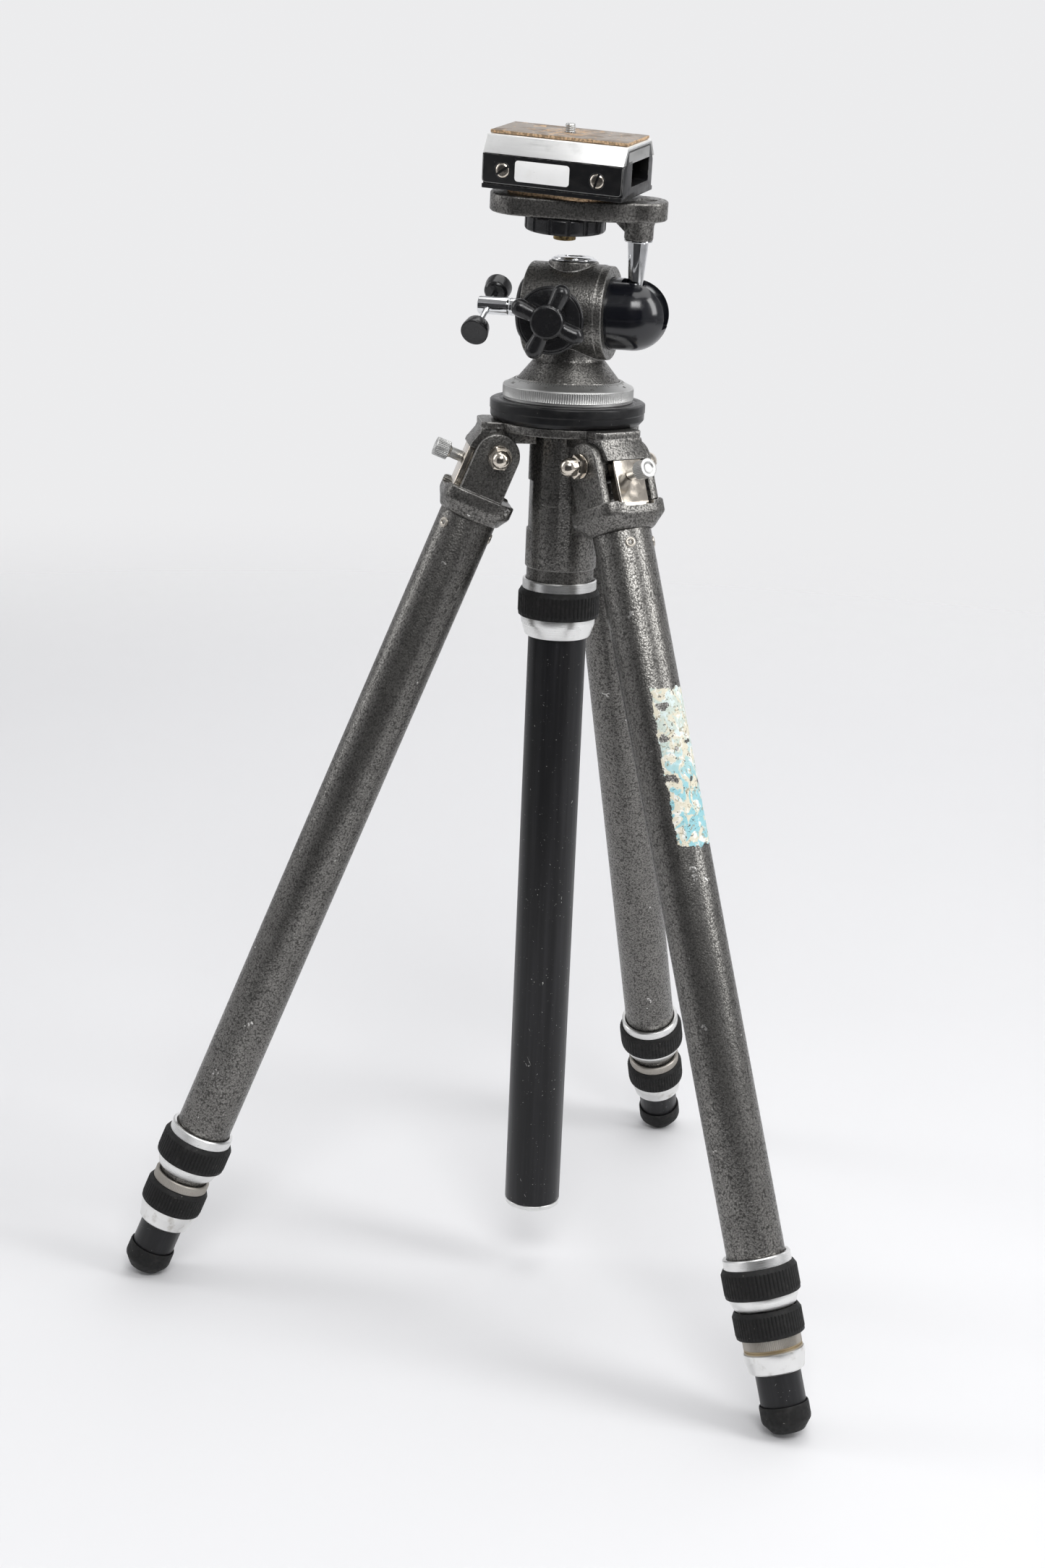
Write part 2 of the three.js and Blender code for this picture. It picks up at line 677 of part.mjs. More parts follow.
// Cone base, cross cylinder and level boss in one casting, bored for the barrel.
function housing() {
  const coneFoot = PAN_BOTTOM + PAN_RIM + PAN_BEVEL;
  const cone = turned([
    [0, PAN_BOTTOM],
    [BASE_R, PAN_BOTTOM],
    [BASE_R, coneFoot],
    [CONE_TOP_R, coneFoot + CONE_RISE],
    [CONE_TOP_R, 0],
    [0, 0],
  ], FINE);
  const cylinder = toX(ring(0, HOUSING_R, -HOUSING_HALF, HOUSING_HALF, 1, FINE));
  const boss = turned([
    [0, 0],
    [BOSS_R, 0],
    [BOSS_R, BOSS_TOP - 1],
    [BOSS_R - 1, BOSS_TOP],
    [0, BOSS_TOP],
  ]);
  const reach = HOUSING_HALF + 1;
  const starBore = placedStar(toFront(rod(STAR_SHAFT_R + GAP, 0, HOUSING_R + STAR_STAND, COARSE)));
  return cut(
    joined(cone, cylinder, boss),
    toX(rod(BARREL_R + GAP, -reach, reach, FINE)),
    starBore,
  );
}

function levelCap() {
  const low = BOSS_TOP + GAP;
  return turned([
    [0, low],
    [LEVEL_R, low],
    [LEVEL_R, low + LEVEL_THICK / 2],
    [LEVEL_R - 2, low + LEVEL_THICK],
    [0, low + LEVEL_THICK],
  ]);
}

// The barrel with its round end, slotted from the top through the end for the stem.
function barrel() {
  const left = BARREL_LEFT + GAP;
  const dome = [];
  const steps = 8;
  for (let i = 0; i <= steps; i += 1) {
    const angle = (i / steps) * RIGHT_ANGLE;
    dome.push([BARREL_R * Math.cos(angle), BARREL_REACH + BARREL_R * Math.sin(angle)]);
  }
  dome[steps][0] = 0;
  const body = toX(turned([[0, left], [BARREL_R, left], ...dome], FINE));
  const cavity = toFront(rod(BALL_R + GAP, -SLOT_HALF, SLOT_HALF, FINE)).translate(BARREL_REACH, 0, 0);
  const swing = STEM_TOP_R + GAP;
  const far = BARREL_REACH + BARREL_R + 1;
  const mouth = box([BARREL_REACH - swing, far], [-SLOT_HALF, SLOT_HALF], [-swing, BARREL_R + 1]);
  return cut(body, cavity, mouth);
}

function endCap() {
  return toX(turned([
    [0, BARREL_LEFT - END_CAP_THICK],
    [END_CAP_R - 2, BARREL_LEFT - END_CAP_THICK],
    [END_CAP_R, BARREL_LEFT - END_CAP_THICK + 2],
    [END_CAP_R, BARREL_LEFT],
    [0, BARREL_LEFT],
  ]));
}

// The locking handle: a rod on the barrel axis with a cross bar through it.
const rodStart = BARREL_LEFT - END_CAP_THICK - GAP;
const crossX = rodStart - ROD_LENGTH + CROSS_FROM_END;

function lockRod() {
  const front = CROSS_FRONT - CROSS_KNOB_LENGTH - GAP;
  const rear = CROSS_REAR - CROSS_KNOB_LENGTH - GAP;
  const bar = rod(CROSS_R, -front, rear, COARSE).translate(crossX, 0, 0);
  const shaft = toX(turned([
    [0, rodStart - ROD_LENGTH],
    [ROD_R - GRIP_SEAT, rodStart - ROD_LENGTH],
    [ROD_R, rodStart - ROD_LENGTH + GRIP_SEAT],
    [ROD_R, rodStart],
    [0, rodStart],
  ], COARSE));
  return joined(shaft, bar);
}

function crossKnob(reach) {
  const inner = reach - CROSS_KNOB_LENGTH;
  return turned([
    [0, inner],
    [CROSS_KNOB_R - 1, inner],
    [CROSS_KNOB_R, inner + 1],
    [CROSS_KNOB_R, reach - GRIP_SEAT],
    [CROSS_KNOB_R - GRIP_SEAT, reach],
    [0, reach],
  ]);
}

// The clamp screw sits a little low and canted on the housing.
function placedStar(geometry) {
  return geometry.rotateZ(STAR_CANT).translate(STAR_SHIFT, 0, -STAR_DROP);
}

function starKnob() {
  const back = HOUSING_R + STAR_STAND;
  const skirtTop = back + SKIRT_RIM + SKIRT_RISE;
  const hub = turned([
    [0, BARREL_R + STAR_STAND],
    [STAR_SHAFT_R, BARREL_R + STAR_STAND],
    [STAR_SHAFT_R, back],
    [SKIRT_R, back],
    [SKIRT_R, back + SKIRT_RIM],
    [HUB_R, skirtTop],
    [HUB_R, HUB_FRONT - 1],
    [HUB_R - 1, HUB_FRONT],
    [0, HUB_FRONT],
  ]);
  const arms = [];
  for (let i = 0; i < ARMS; i += 1) {
    const arm = new THREE.CapsuleGeometry(ARM_R, ARM_REACH, 3, COARSE).translate(0, ARM_REACH / 2, 0);
    arms.push(arm.rotateZ(ARM_TURN + (i * 2 * Math.PI) / ARMS).translate(0, 0, ARM_OUT));
  }
  return placedStar(toFront(joined(hub, ...arms)));
}

const head = group(tripod, { position: [0, 0, AXIS_HEIGHT], rotation: [0, 0, HEAD_YAW] });
add(head, 'pan_ring', panRing(), SATIN_ALUMINIUM);
add(head, 'head_housing', housing(), HAMMERTONE);
add(head, 'level_cap', levelCap(), CHROME);
add(head, 'star_knob', starKnob(), BAKELITE);

const barrelGroup = group(head, { rotation: [TILT_FRONT, 0, 0] });
add(barrelGroup, 'barrel', barrel(), BLACK_ANODISED);
add(barrelGroup, 'barrel_end_cap', endCap(), BLACK_PAINT);

const handleGroup = group(head, { rotation: [CROSS_TURN, 0, 0] });
add(handleGroup, 'lock_rod', lockRod(), CHROME);
add(handleGroup, 'rear_cross_knob', crossKnob(CROSS_REAR).translate(crossX, 0, 0), BAKELITE);
const frontKnob = crossKnob(CROSS_FRONT).rotateX(Math.PI).translate(crossX, 0, 0);
add(handleGroup, 'front_cross_knob', frontKnob, BAKELITE);

// ---------------------------------------------------------------- stem and camera plate

function stem() {
  const ball = solid(new THREE.SphereGeometry(BALL_R, FINE, ROUND / 2));
  const cheeks = box([-BALL_R, BALL_R], [-SLOT_HALF + GAP, SLOT_HALF - GAP], [-BALL_R, BALL_R]);
  const pivot = surface(ball.intersect(solid(cheeks)));
  const post = turned([
    [0, 0],
    [STEM_R, 0],
    [STEM_R, BARREL_R],
    [STEM_TOP_R, PLATE_UNDER - PLATE_BOSS - GAP],
    [0, PLATE_UNDER - PLATE_BOSS - GAP],
  ], COARSE);
  return joined(pivot, post);
}

function plateShape() {
  const left = PLATE_LEFT + PLATE_CORNER;
  const side = PLATE_HALF - PLATE_CORNER;
  const shape = new THREE.Shape();
  shape.moveTo(left, -PLATE_HALF);
  shape.lineTo(PLATE_WAIST - PLATE_CORNER, -PLATE_HALF);
  shape.quadraticCurveTo(PLATE_WAIST, -PLATE_HALF, 0, -EAR_END_R);
  shape.absarc(PLATE_RIGHT - EAR_END_R, 0, EAR_END_R, -RIGHT_ANGLE, RIGHT_ANGLE, false);
  shape.lineTo(0, EAR_END_R);
  shape.quadraticCurveTo(PLATE_WAIST, PLATE_HALF, PLATE_WAIST - PLATE_CORNER, PLATE_HALF);
  shape.lineTo(left, PLATE_HALF);
  shape.absarc(left, side, PLATE_CORNER, RIGHT_ANGLE, Math.PI, false);
  shape.absarc(left, -side, PLATE_CORNER, Math.PI, 3 * RIGHT_ANGLE, false);
  return shape;
}

function cameraPlate() {
  const slab = slabAlongZ(plateShape(), PLATE_UNDER, PLATE_TOP);
  const bossLow = PLATE_UNDER - PLATE_BOSS;
  const boss = turned([
    [0, bossLow],
    [PLATE_BOSS_R, bossLow],
    [PLATE_BOSS_R, PLATE_UNDER - 3],
    [PLATE_BOSS_FLARE, PLATE_UNDER + 1],
    [0, PLATE_UNDER + 1],
  ]);
  const gusset = slabAlongY(outline([
    [SCREW_X + WHEEL_R + 2, PLATE_UNDER + 1],
    [-PLATE_BOSS_R + 1, PLATE_UNDER - PLATE_BOSS / 2 - 2],
    [0, PLATE_UNDER - PLATE_BOSS / 2 - 2],
    [0, PLATE_UNDER + 1],
  ]), -PLATE_BOSS_R / 3, PLATE_BOSS_R / 3);
  const bore = rod(SCREW_R + GAP, PLATE_UNDER - 1, PLATE_TOP + 1, COARSE).translate(SCREW_X, 0, 0);
  return cut(joined(slab, boss, gusset), bore);
}

function thumbWheel() {
  const high = PLATE_UNDER - GAP;
  const low = high - WHEEL_THICK;
  const wheel = ring(SCREW_R + GAP, WHEEL_R, low, high, 1, FINE);
  const notches = [];
  for (let i = 0; i < WHEEL_NOTCHES; i += 1) {
    const angle = (i * 2 * Math.PI) / WHEEL_NOTCHES;
    const notch = rod(NOTCH_R, low - 1, high + 1, 8);
    notches.push(notch.translate(WHEEL_R + NOTCH_R / 2, 0, 0).rotateZ(angle));
  }
  return cut(wheel, ...notches).translate(SCREW_X, 0, 0);
}

function plateScrew() {
  const headTop = PLATE_UNDER - WHEEL_THICK - 2 * GAP;
  return turned([
    [0, headTop - SCREW_HEAD],
    [SCREW_HEAD_R, headTop - SCREW_HEAD],
    [SCREW_HEAD_R, headTop],
    [SCREW_R, headTop],
    [SCREW_R, BLOCK_BOTTOM + SCREW_BITE],
    [0, BLOCK_BOTTOM + SCREW_BITE],
  ], COARSE).translate(SCREW_X, 0, 0);
}

// ---------------------------------------------------------------- adapter block

const blockEnds = [-BLOCK_LENGTH / 2, BLOCK_LENGTH / 2];
const padHalf = BLOCK_LENGTH / 2 - PAD_END_INSET;
const halfDepth = BLOCK_DEPTH / 2;
const bodyHalf = halfDepth - COVER_THICK - GAP;
const hoodLow = BLOCK_TOP - BEVEL_DOWN;
const bodyTop = BLOCK_TOP - HOOD_THICK - GAP;
const slope = BEVEL_IN / BEVEL_DOWN;

// The block's own frame with a stepped channel right through it.
function adapterBody() {
  const shoulder = hoodLow - HOOD_SKIRT - GAP;
  const topHalf = halfDepth - BEVEL_IN - HOOD_THICK - GAP;
  const frame = slabAlongX(outline([
    [-halfDepth, BLOCK_BOTTOM],
    [halfDepth, BLOCK_BOTTOM],
    [halfDepth, BLOCK_BOTTOM + COVER_BOTTOM - GAP],
    [bodyHalf, BLOCK_BOTTOM + COVER_BOTTOM - GAP],
    [bodyHalf, shoulder],
    [topHalf, bodyTop],
    [-topHalf, bodyTop],
    [-bodyHalf, shoulder],
    [-bodyHalf, BLOCK_BOTTOM + COVER_BOTTOM - GAP],
    [-halfDepth, BLOCK_BOTTOM + COVER_BOTTOM - GAP],
  ]), ...blockEnds);
  const channel = slabAlongX(outline([
    [CHANNEL_FRONT, BLOCK_BOTTOM + CHANNEL_FLOOR],
    [CHANNEL_BACK, BLOCK_BOTTOM + CHANNEL_FLOOR],
    [CHANNEL_BACK, BLOCK_BOTTOM + CHANNEL_ROOF],
    [CHANNEL_TOP_FRONT, BLOCK_BOTTOM + CHANNEL_ROOF],
    [CHANNEL_TOP_FRONT, BLOCK_BOTTOM + CHANNEL_STEP],
    [CHANNEL_FRONT, BLOCK_BOTTOM + CHANNEL_STEP],
  ]), blockEnds[0] - 1, blockEnds[1] + 1);
  const lowBore = rod(SCREW_R + GAP, BLOCK_BOTTOM - 1, BLOCK_BOTTOM + SCREW_BITE + GAP, COARSE);
  const topBore = rod(CAMERA_SCREW_R + GAP, BLOCK_BOTTOM + CHANNEL_STEP, BLOCK_TOP, COARSE);
  return cut(frame, channel, lowBore, topBore);
}

// Bright cover over the top and both bevels.
function adapterHood() {
  const inner = halfDepth - HOOD_THICK;
  const hood = slabAlongX(outline([
    [-halfDepth, hoodLow],
    [-inner, hoodLow],
    [-inner + BEVEL_IN - slope * HOOD_THICK, BLOCK_TOP - HOOD_THICK],
    [inner - BEVEL_IN + slope * HOOD_THICK, BLOCK_TOP - HOOD_THICK],
    [inner, hoodLow],
    [halfDepth, hoodLow],
    [halfDepth - BEVEL_IN, BLOCK_TOP],
    [-halfDepth + BEVEL_IN, BLOCK_TOP],
  ]), ...blockEnds);
  return cut(hood, rod(CAMERA_SCREW_R + GAP, hoodLow, BLOCK_TOP + 1, COARSE));
}

function coverShape() {
  const [left, right] = blockEnds;
  const low = BLOCK_BOTTOM + COVER_BOTTOM;
  const high = hoodLow - GAP;
  const shape = new THREE.Shape();
  shape.moveTo(left, high);
  shape.lineTo(left, low + COVER_CORNER);
  shape.absarc(left + COVER_CORNER, low + COVER_CORNER, COVER_CORNER, Math.PI, 3 * RIGHT_ANGLE, false);
  shape.absarc(right - COVER_CORNER, low + COVER_CORNER, COVER_CORNER, -RIGHT_ANGLE, 0, false);
  shape.lineTo(right, high);
  return shape;
}

function topCork() {
  const low = BLOCK_TOP + GAP;
  const high = low + TOP_CORK;
  const half = halfDepth - BEVEL_IN - PAD_INSET;
  const slab = box([-padHalf, padHalf], [-half, half], [low, high]);
  return cut(slab, rod(CAMERA_SCREW_R + GAP, low - 1, high + 1, COARSE));
}

// Quarter-inch screw that is turned by its head inside the channel.
function cameraScrew() {
  const headTop = BLOCK_BOTTOM + CHANNEL_ROOF - GAP;
  const tip = BLOCK_TOP + GAP + TOP_CORK + CAMERA_SCREW_RISE;
  return turned([
    [0, headTop - CAMERA_SCREW_HEAD],
    [CAMERA_SCREW_HEAD_R, headTop - CAMERA_SCREW_HEAD],
    [CAMERA_SCREW_HEAD_R, headTop],
    [CAMERA_SCREW_R, headTop],
    [CAMERA_SCREW_R, tip - GRIP_SEAT],
    [CAMERA_SCREW_R - GRIP_SEAT, tip],
    [0, tip],
  ], COARSE);
}

const stemGroup = group(barrelGroup, { position: [BARREL_REACH, 0, 0], rotation: [0, TILT_END, 0] });
add(stemGroup, 'stem', stem(), CHROME);

const plateGroup = group(stemGroup, { rotation: [0, 0, PLATE_TURN] });
add(plateGroup, 'camera_plate', cameraPlate(), HAMMERTONE);
add(plateGroup, 'thumb_wheel', thumbWheel(), BAKELITE);
add(plateGroup, 'plate_screw', plateScrew(), BRASS);

const blockGroup = group(plateGroup, { position: [SCREW_X, 0, 0], rotation: [0, 0, BLOCK_TURN] });
const frontCover = slabAlongY(coverShape(), -halfDepth, -halfDepth + COVER_THICK);
add(blockGroup, 'adapter_body', adapterBody(), BLACK_PAINT);
add(blockGroup, 'adapter_hood', adapterHood(), BRIGHT_ALUMINIUM);
add(blockGroup, 'front_cover', frontCover, BLACK_PAINT);
add(blockGroup, 'top_cork', topCork(), CORK_PAD);
add(blockGroup, 'camera_screw', cameraScrew(), BRIGHT_ALUMINIUM);

export default tripod;
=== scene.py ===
"""Photographic tripod with a centre column, an offset ball head and a camera adapter block."""

import json
import math

import bmesh
import bpy
from mathutils import Matrix, Vector, noise

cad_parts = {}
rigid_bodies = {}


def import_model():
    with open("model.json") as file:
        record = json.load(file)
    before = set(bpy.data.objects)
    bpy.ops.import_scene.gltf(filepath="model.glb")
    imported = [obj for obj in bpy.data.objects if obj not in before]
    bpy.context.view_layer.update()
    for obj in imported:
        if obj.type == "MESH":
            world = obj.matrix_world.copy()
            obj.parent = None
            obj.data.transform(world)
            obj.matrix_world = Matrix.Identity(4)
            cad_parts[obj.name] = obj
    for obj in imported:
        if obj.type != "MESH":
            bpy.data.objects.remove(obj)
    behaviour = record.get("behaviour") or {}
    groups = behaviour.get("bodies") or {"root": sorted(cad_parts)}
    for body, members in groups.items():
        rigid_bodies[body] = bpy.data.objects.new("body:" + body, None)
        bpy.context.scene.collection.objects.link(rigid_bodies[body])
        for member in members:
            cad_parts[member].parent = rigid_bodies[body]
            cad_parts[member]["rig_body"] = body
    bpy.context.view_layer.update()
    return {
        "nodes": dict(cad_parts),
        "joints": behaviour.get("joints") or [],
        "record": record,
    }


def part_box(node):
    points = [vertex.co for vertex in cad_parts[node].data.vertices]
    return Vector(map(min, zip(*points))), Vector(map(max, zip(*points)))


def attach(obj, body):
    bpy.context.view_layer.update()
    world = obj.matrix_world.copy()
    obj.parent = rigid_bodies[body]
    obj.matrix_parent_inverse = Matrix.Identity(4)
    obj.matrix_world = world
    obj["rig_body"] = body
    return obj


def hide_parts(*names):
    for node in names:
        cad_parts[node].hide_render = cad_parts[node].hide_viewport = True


bl_info = {
    "name": "Hammertone Tripod",
    "version": (1, 0, 0),
    "blender": (4, 5, 0),
    "location": "3D View > Sidebar > Tripod",
    "description": "Builds the looks of a photographic tripod and its ball head around the packed frame",
    "category": "Object",
}

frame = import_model()
JOINTS = {joint["name"]: joint for joint in frame["joints"]}
MOUNTS = {mount["name"]: mount for mount in frame["record"].get("mounts", [])}

MM = 0.001
GAP = 0.3
MADE_AT = "made_at"  # where each point lies in the directions that its piece was made in
SIDES = ("left", "right", "rear")
FINE = 96
ROUND = 64
SMALL = 32
UP = Vector((0, 0, 1))
ALONG_X = Matrix(((0, 0, 1, 0), (1, 0, 0, 0), (0, 1, 0, 0), (0, 0, 0, 1)))
ALONG_Y = Matrix.Rotation(math.pi / 2, 4, "X")
TO_X = Matrix.Rotation(math.pi / 2, 4, "Y")

# ---------------------------------------------------------------- places read from the frame


def pin(name):
    return Vector(JOINTS[name]["pos_m"])


def line(name):
    return Vector(JOINTS[name]["axis"]).normalized()


def seat(origin, x, z):
    """A place whose X and Z lie along the given directions."""
    z = z.normalized()
    x = (x - z * x.dot(z)).normalized()
    y = z.cross(x)
    place = Matrix((x, y, z)).transposed().to_4x4()
    place.translation = origin
    return place


def middle(node):
    low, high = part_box(node)
    return (low + high) / 2


def leg_place(side):
    return seat(pin(f"{side}_leg_fold"), line(f"{side}_latch_pull"), -line(f"{side}_middle_slide"))


HINGE = pin("left_leg_fold")
HUB = Matrix.Translation((0, 0, HINGE.z))
HEAD_CENTRE = Vector((0, 0, pin("barrel_turn").z))
BARREL_LINE = line("barrel_turn")
HEAD = seat(HEAD_CENTRE, BARREL_LINE, UP)
BARREL = seat(HEAD_CENTRE, BARREL_LINE, BARREL_LINE.cross(line("stem_tilt")))
HANDLE = seat(HEAD_CENTRE, BARREL_LINE, middle("rear_cross_knob") - middle("front_cross_knob"))
STAR_LINE = line("star_knob_turn")
STEM_LINE = line("plate_swivel")
BALL_CENTRE = pin("stem_tilt")
STEM = seat(BALL_CENTRE, line("stem_tilt").cross(STEM_LINE), STEM_LINE)
PLATE = seat(BALL_CENTRE, pin("plate_swivel") - pin("thumb_wheel_turn"), STEM_LINE)
SCREW_X = -45
SCREW_CENTRE = PLATE @ (Vector((SCREW_X, 0, 0)) * MM)
BLOCK_LINE = Vector(MOUNTS["camera_seat"]["pos_m"]) - SCREW_CENTRE if MOUNTS else STEM_LINE
BLOCK = seat(SCREW_CENTRE, BLOCK_LINE, STEM_LINE)


class TripodShape(bpy.types.PropertyGroup):
    """Small sizes that change how the pieces look without moving them."""

    grip_ribs: bpy.props.IntProperty(
        name="Grip ribs", description="Ribs around each rubber grip", default=58, min=12
    )
    grip_rib_depth: bpy.props.FloatProperty(
        name="Grip rib depth", description="Depth of the grooves in the rubber, in millimetres",
        default=0.55, min=0,
    )
    knurl_teeth: bpy.props.IntProperty(
        name="Pan ring teeth", description="Teeth of the knurl around the pan ring", default=168, min=24
    )
    knurl_depth: bpy.props.FloatProperty(
        name="Knurl depth", description="Depth of the metal knurls, in millimetres", default=0.35, min=0
    )
    scale_step: bpy.props.IntProperty(
        name="Scale step", description="Degrees between two marks of the pan scale", default=3, min=1
    )


class TripodFinish(bpy.types.PropertyGroup):
    """Colours and wear of the finishes."""

    hammer_dark: bpy.props.FloatVectorProperty(
        name="Hammertone low", description="Colour in the network of the hammertone enamel",
        subtype="COLOR", size=3, default=(0.028, 0.027, 0.026), min=0, max=1,
    )
    hammer_light: bpy.props.FloatVectorProperty(
        name="Hammertone high", description="Colour of the raised cells of the hammertone enamel",
        subtype="COLOR", size=3, default=(0.25, 0.243, 0.23), min=0, max=1,
    )
    hammer_cell: bpy.props.FloatProperty(
        name="Hammertone cell", description="Width of one cell of the enamel, in millimetres",
        default=1.25, min=0.2,
    )
    black: bpy.props.FloatVectorProperty(
        name="Black", description="Colour of the black paint and anodising",
        subtype="COLOR", size=3, default=(0.008, 0.008, 0.009), min=0, max=1,
    )
    rubber: bpy.props.FloatVectorProperty(
        name="Rubber", description="Colour of the grips and feet",
        subtype="COLOR", size=3, default=(0.010, 0.010, 0.010), min=0, max=1,
    )
    bare_metal: bpy.props.FloatVectorProperty(
        name="Bare metal", description="Colour of aluminium where the finish has worn off",
        subtype="COLOR", size=3, default=(0.62, 0.61, 0.59), min=0, max=1,
    )
    cork: bpy.props.FloatVectorProperty(
        name="Cork", description="Colour of the cork where it is clean",
        subtype="COLOR", size=3, default=(0.58, 0.40, 0.24), min=0, max=1,
    )
    edge_wear: bpy.props.FloatProperty(
        name="Edge wear", description="How much of the edges is worn to the metal",
        subtype="FACTOR", default=0.5, min=0, max=1,
    )


class TripodStage(bpy.types.PropertyGroup):
    """Floor, light and camera."""

    floor_colour: bpy.props.FloatVectorProperty(
        name="Floor colour", description="Colour of the pale floor and the wall behind it",
        subtype="COLOR", size=3, default=(0.74, 0.74, 0.75), min=0, max=1,
    )
    backdrop: bpy.props.FloatVectorProperty(
        name="Backdrop", description="Colour of the plain backdrop",
        subtype="COLOR", size=3, default=(0.84, 0.84, 0.85), min=0, max=1,
    )
    flag_colour: bpy.props.FloatVectorProperty(
        name="Dark cards", description="Colour of the cards that darken the reflections",
        subtype="COLOR", size=3, default=(0.05, 0.05, 0.052), min=0, max=1,
    )
    sky: bpy.props.FloatProperty(
        name="Sky light", description="Strength of the soft light from all round", default=0.30, min=0
    )
    key_power: bpy.props.FloatProperty(
        name="Soft box power", description="Power that each soft box takes its share of",
        unit="POWER", default=26, min=0
    )
    camera_place: bpy.props.FloatVectorProperty(
        name="Camera place", description="Where the camera stands",
        subtype="TRANSLATION", unit="LENGTH", size=3, default=(0.5617, -1.3964, 0.7824),
    )
    camera_azimuth: bpy.props.FloatProperty(
        name="Camera azimuth", description="Turn of the camera about the upright axis",
        subtype="ANGLE", default=math.radians(22.6),
    )
    camera_drop: bpy.props.FloatProperty(
        name="Camera drop", description="How far the camera looks down",
        subtype="ANGLE", default=math.radians(16.303),
    )
    camera_roll: bpy.props.FloatProperty(
        name="Camera roll", description="Lean of the camera", subtype="ANGLE", default=math.radians(2.384)
    )
    lens: bpy.props.FloatProperty(
        name="Lens", description="Focal length on a 36 mm long side", default=55.6, min=10
    )


# ---------------------------------------------------------------- finishes

NUT2_STEP = 545.5  # down the leg, where the second nut's lower taper ends


class Coat:
    """A node material that is laid on coat by coat."""

    def __init__(self, name, colour, metallic, roughness):
        self.material = bpy.data.materials.new(f"{name}_coat")
        self.material.use_nodes = True
        self.tree = self.material.node_tree
        self.shader = self.tree.nodes["Principled BSDF"]
        self.place = self.node("Attribute", attribute_name=MADE_AT).outputs["Vector"]
        self.colour = (*colour, 1)
        self.metallic = metallic
        self.roughness = roughness
        self.normal = None
        self.round_normal = None

    def node(self, kind, inputs=None, **settings):
        made = self.tree.nodes.new("ShaderNode" + kind)
        for key, value in settings.items():
            setattr(made, key, value)
        for key, value in (inputs or {}).items():
            self.feed(made.inputs[key], value)
        return made

    def feed(self, socket, value):
        if isinstance(value, bpy.types.NodeSocket):
            self.tree.links.new(value, socket)
        else:
            socket.default_value = value

    def grain(self, size, stretch=(1, 1, 1), detail=3.0, warp=0.0):
        """Cloudy noise from 0 to 1 with features about size millimetres wide."""
        where = self.node("Mapping", {"Vector": self.place, "Scale": stretch}).outputs[0]
        inputs = {"Vector": where, "Scale": 1 / (size * MM), "Detail": detail, "Distortion": warp}
        return self.node("TexNoise", inputs).outputs[0]

    def cells(self, size, feature="F1", stretch=(1, 1, 1), warp=0.0):
        """Distance from the middle of cells about size millimetres wide."""
        where = self.node("Mapping", {"Vector": self.place, "Scale": stretch}).outputs[0]
        if warp:
            cloud = self.node("TexNoise", {"Vector": where, "Scale": 1 / (size * MM)}).outputs["Color"]
            sway = self.node("VectorMath", {0: cloud, 3: warp * size * MM}, operation="SCALE").outputs[0]
            where = self.node("VectorMath", {0: where, 1: sway}, operation="ADD").outputs[0]
        inputs = {"Vector": where, "Scale": 1 / (size * MM)}
        return self.node("TexVoronoi", inputs, feature=feature).outputs["Distance"]

    def band(self, value, low, high):
        """Rises softly from 0 below low to 1 above high."""
        inputs = {"Value": value, "From Min": low, "From Max": high}
        return self.node("MapRange", inputs, interpolation_type="SMOOTHSTEP").outputs[0]

    def sums(self, operation, first, second):
        return self.node("Math", {0: first, 1: second}, operation=operation).outputs[0]

    def times(self, first, *others):
        for other in others:
            first = self.sums("MULTIPLY", first, other)
        return first

    def invert(self, value):
        return self.sums("SUBTRACT", 1.0, value)

    def height(self, axis):
        """The place along one of the piece's own directions, in millimetres."""
        part = self.node("SeparateXYZ", {0: self.place}).outputs[axis]
        return self.times(part, 1 / MM)

    def facing(self, axis):
        """How squarely the surface faces one of the piece's own directions."""
        normal = self.node("TexCoord").outputs["Normal"]
        return self.node("SeparateXYZ", {0: normal}).outputs[axis]

    def tint(self, mask, colour):
        mix = self.node("Mix", {0: mask}, data_type="RGBA")
        self.feed(mix.inputs[6], self.colour)
        self.feed(mix.inputs[7], (*colour, 1) if len(colour) == 3 else colour)
        self.colour = mix.outputs[2]

    def gloss(self, mask, roughness):
        mix = self.node("Mix", {0: mask}, data_type="FLOAT")
        self.feed(mix.inputs[2], self.roughness)
        self.feed(mix.inputs[3], roughness)
        self.roughness = mix.outputs[0]

    def metal(self, mask, metallic):
        mix = self.node("Mix", {0: mask}, data_type="FLOAT")
        self.feed(mix.inputs[2], self.metallic)
        self.feed(mix.inputs[3], metallic)
        self.metallic = mix.outputs[0]

    def bare(self, mask, colour, roughness=0.32):
        """Shows bare metal where the mask is."""
        self.tint(mask, colour)
        self.gloss(mask, roughness)
        self.metal(mask, 1.0)

    def soften(self, radius):
        """Rounds the edges by this many millimetres where light meets them."""
        bevel = self.node("Bevel", {"Radius": radius * MM}, samples=4)
        self.round_normal = bevel.outputs[0]
        self.normal = bevel.outputs[0]

    def edges(self, low=0.02, high=0.2):
        """1 on the rounded edges, 0 on the flats."""
        flat = self.node("NewGeometry").outputs["Normal"]
        inputs = {0: self.round_normal, 1: flat}
        turn = self.node("VectorMath", inputs, operation="DOT_PRODUCT").outputs["Value"]
        return self.band(self.invert(turn), low, high)

    def dent(self, height, depth):
        """Raises the surface by the height times this many millimetres."""
        bump = self.node("Bump", {"Height": height, "Distance": depth * MM, "Strength": 1.0})
        if self.normal is not None:
            self.feed(bump.inputs["Normal"], self.normal)
        self.normal = bump.outputs[0]

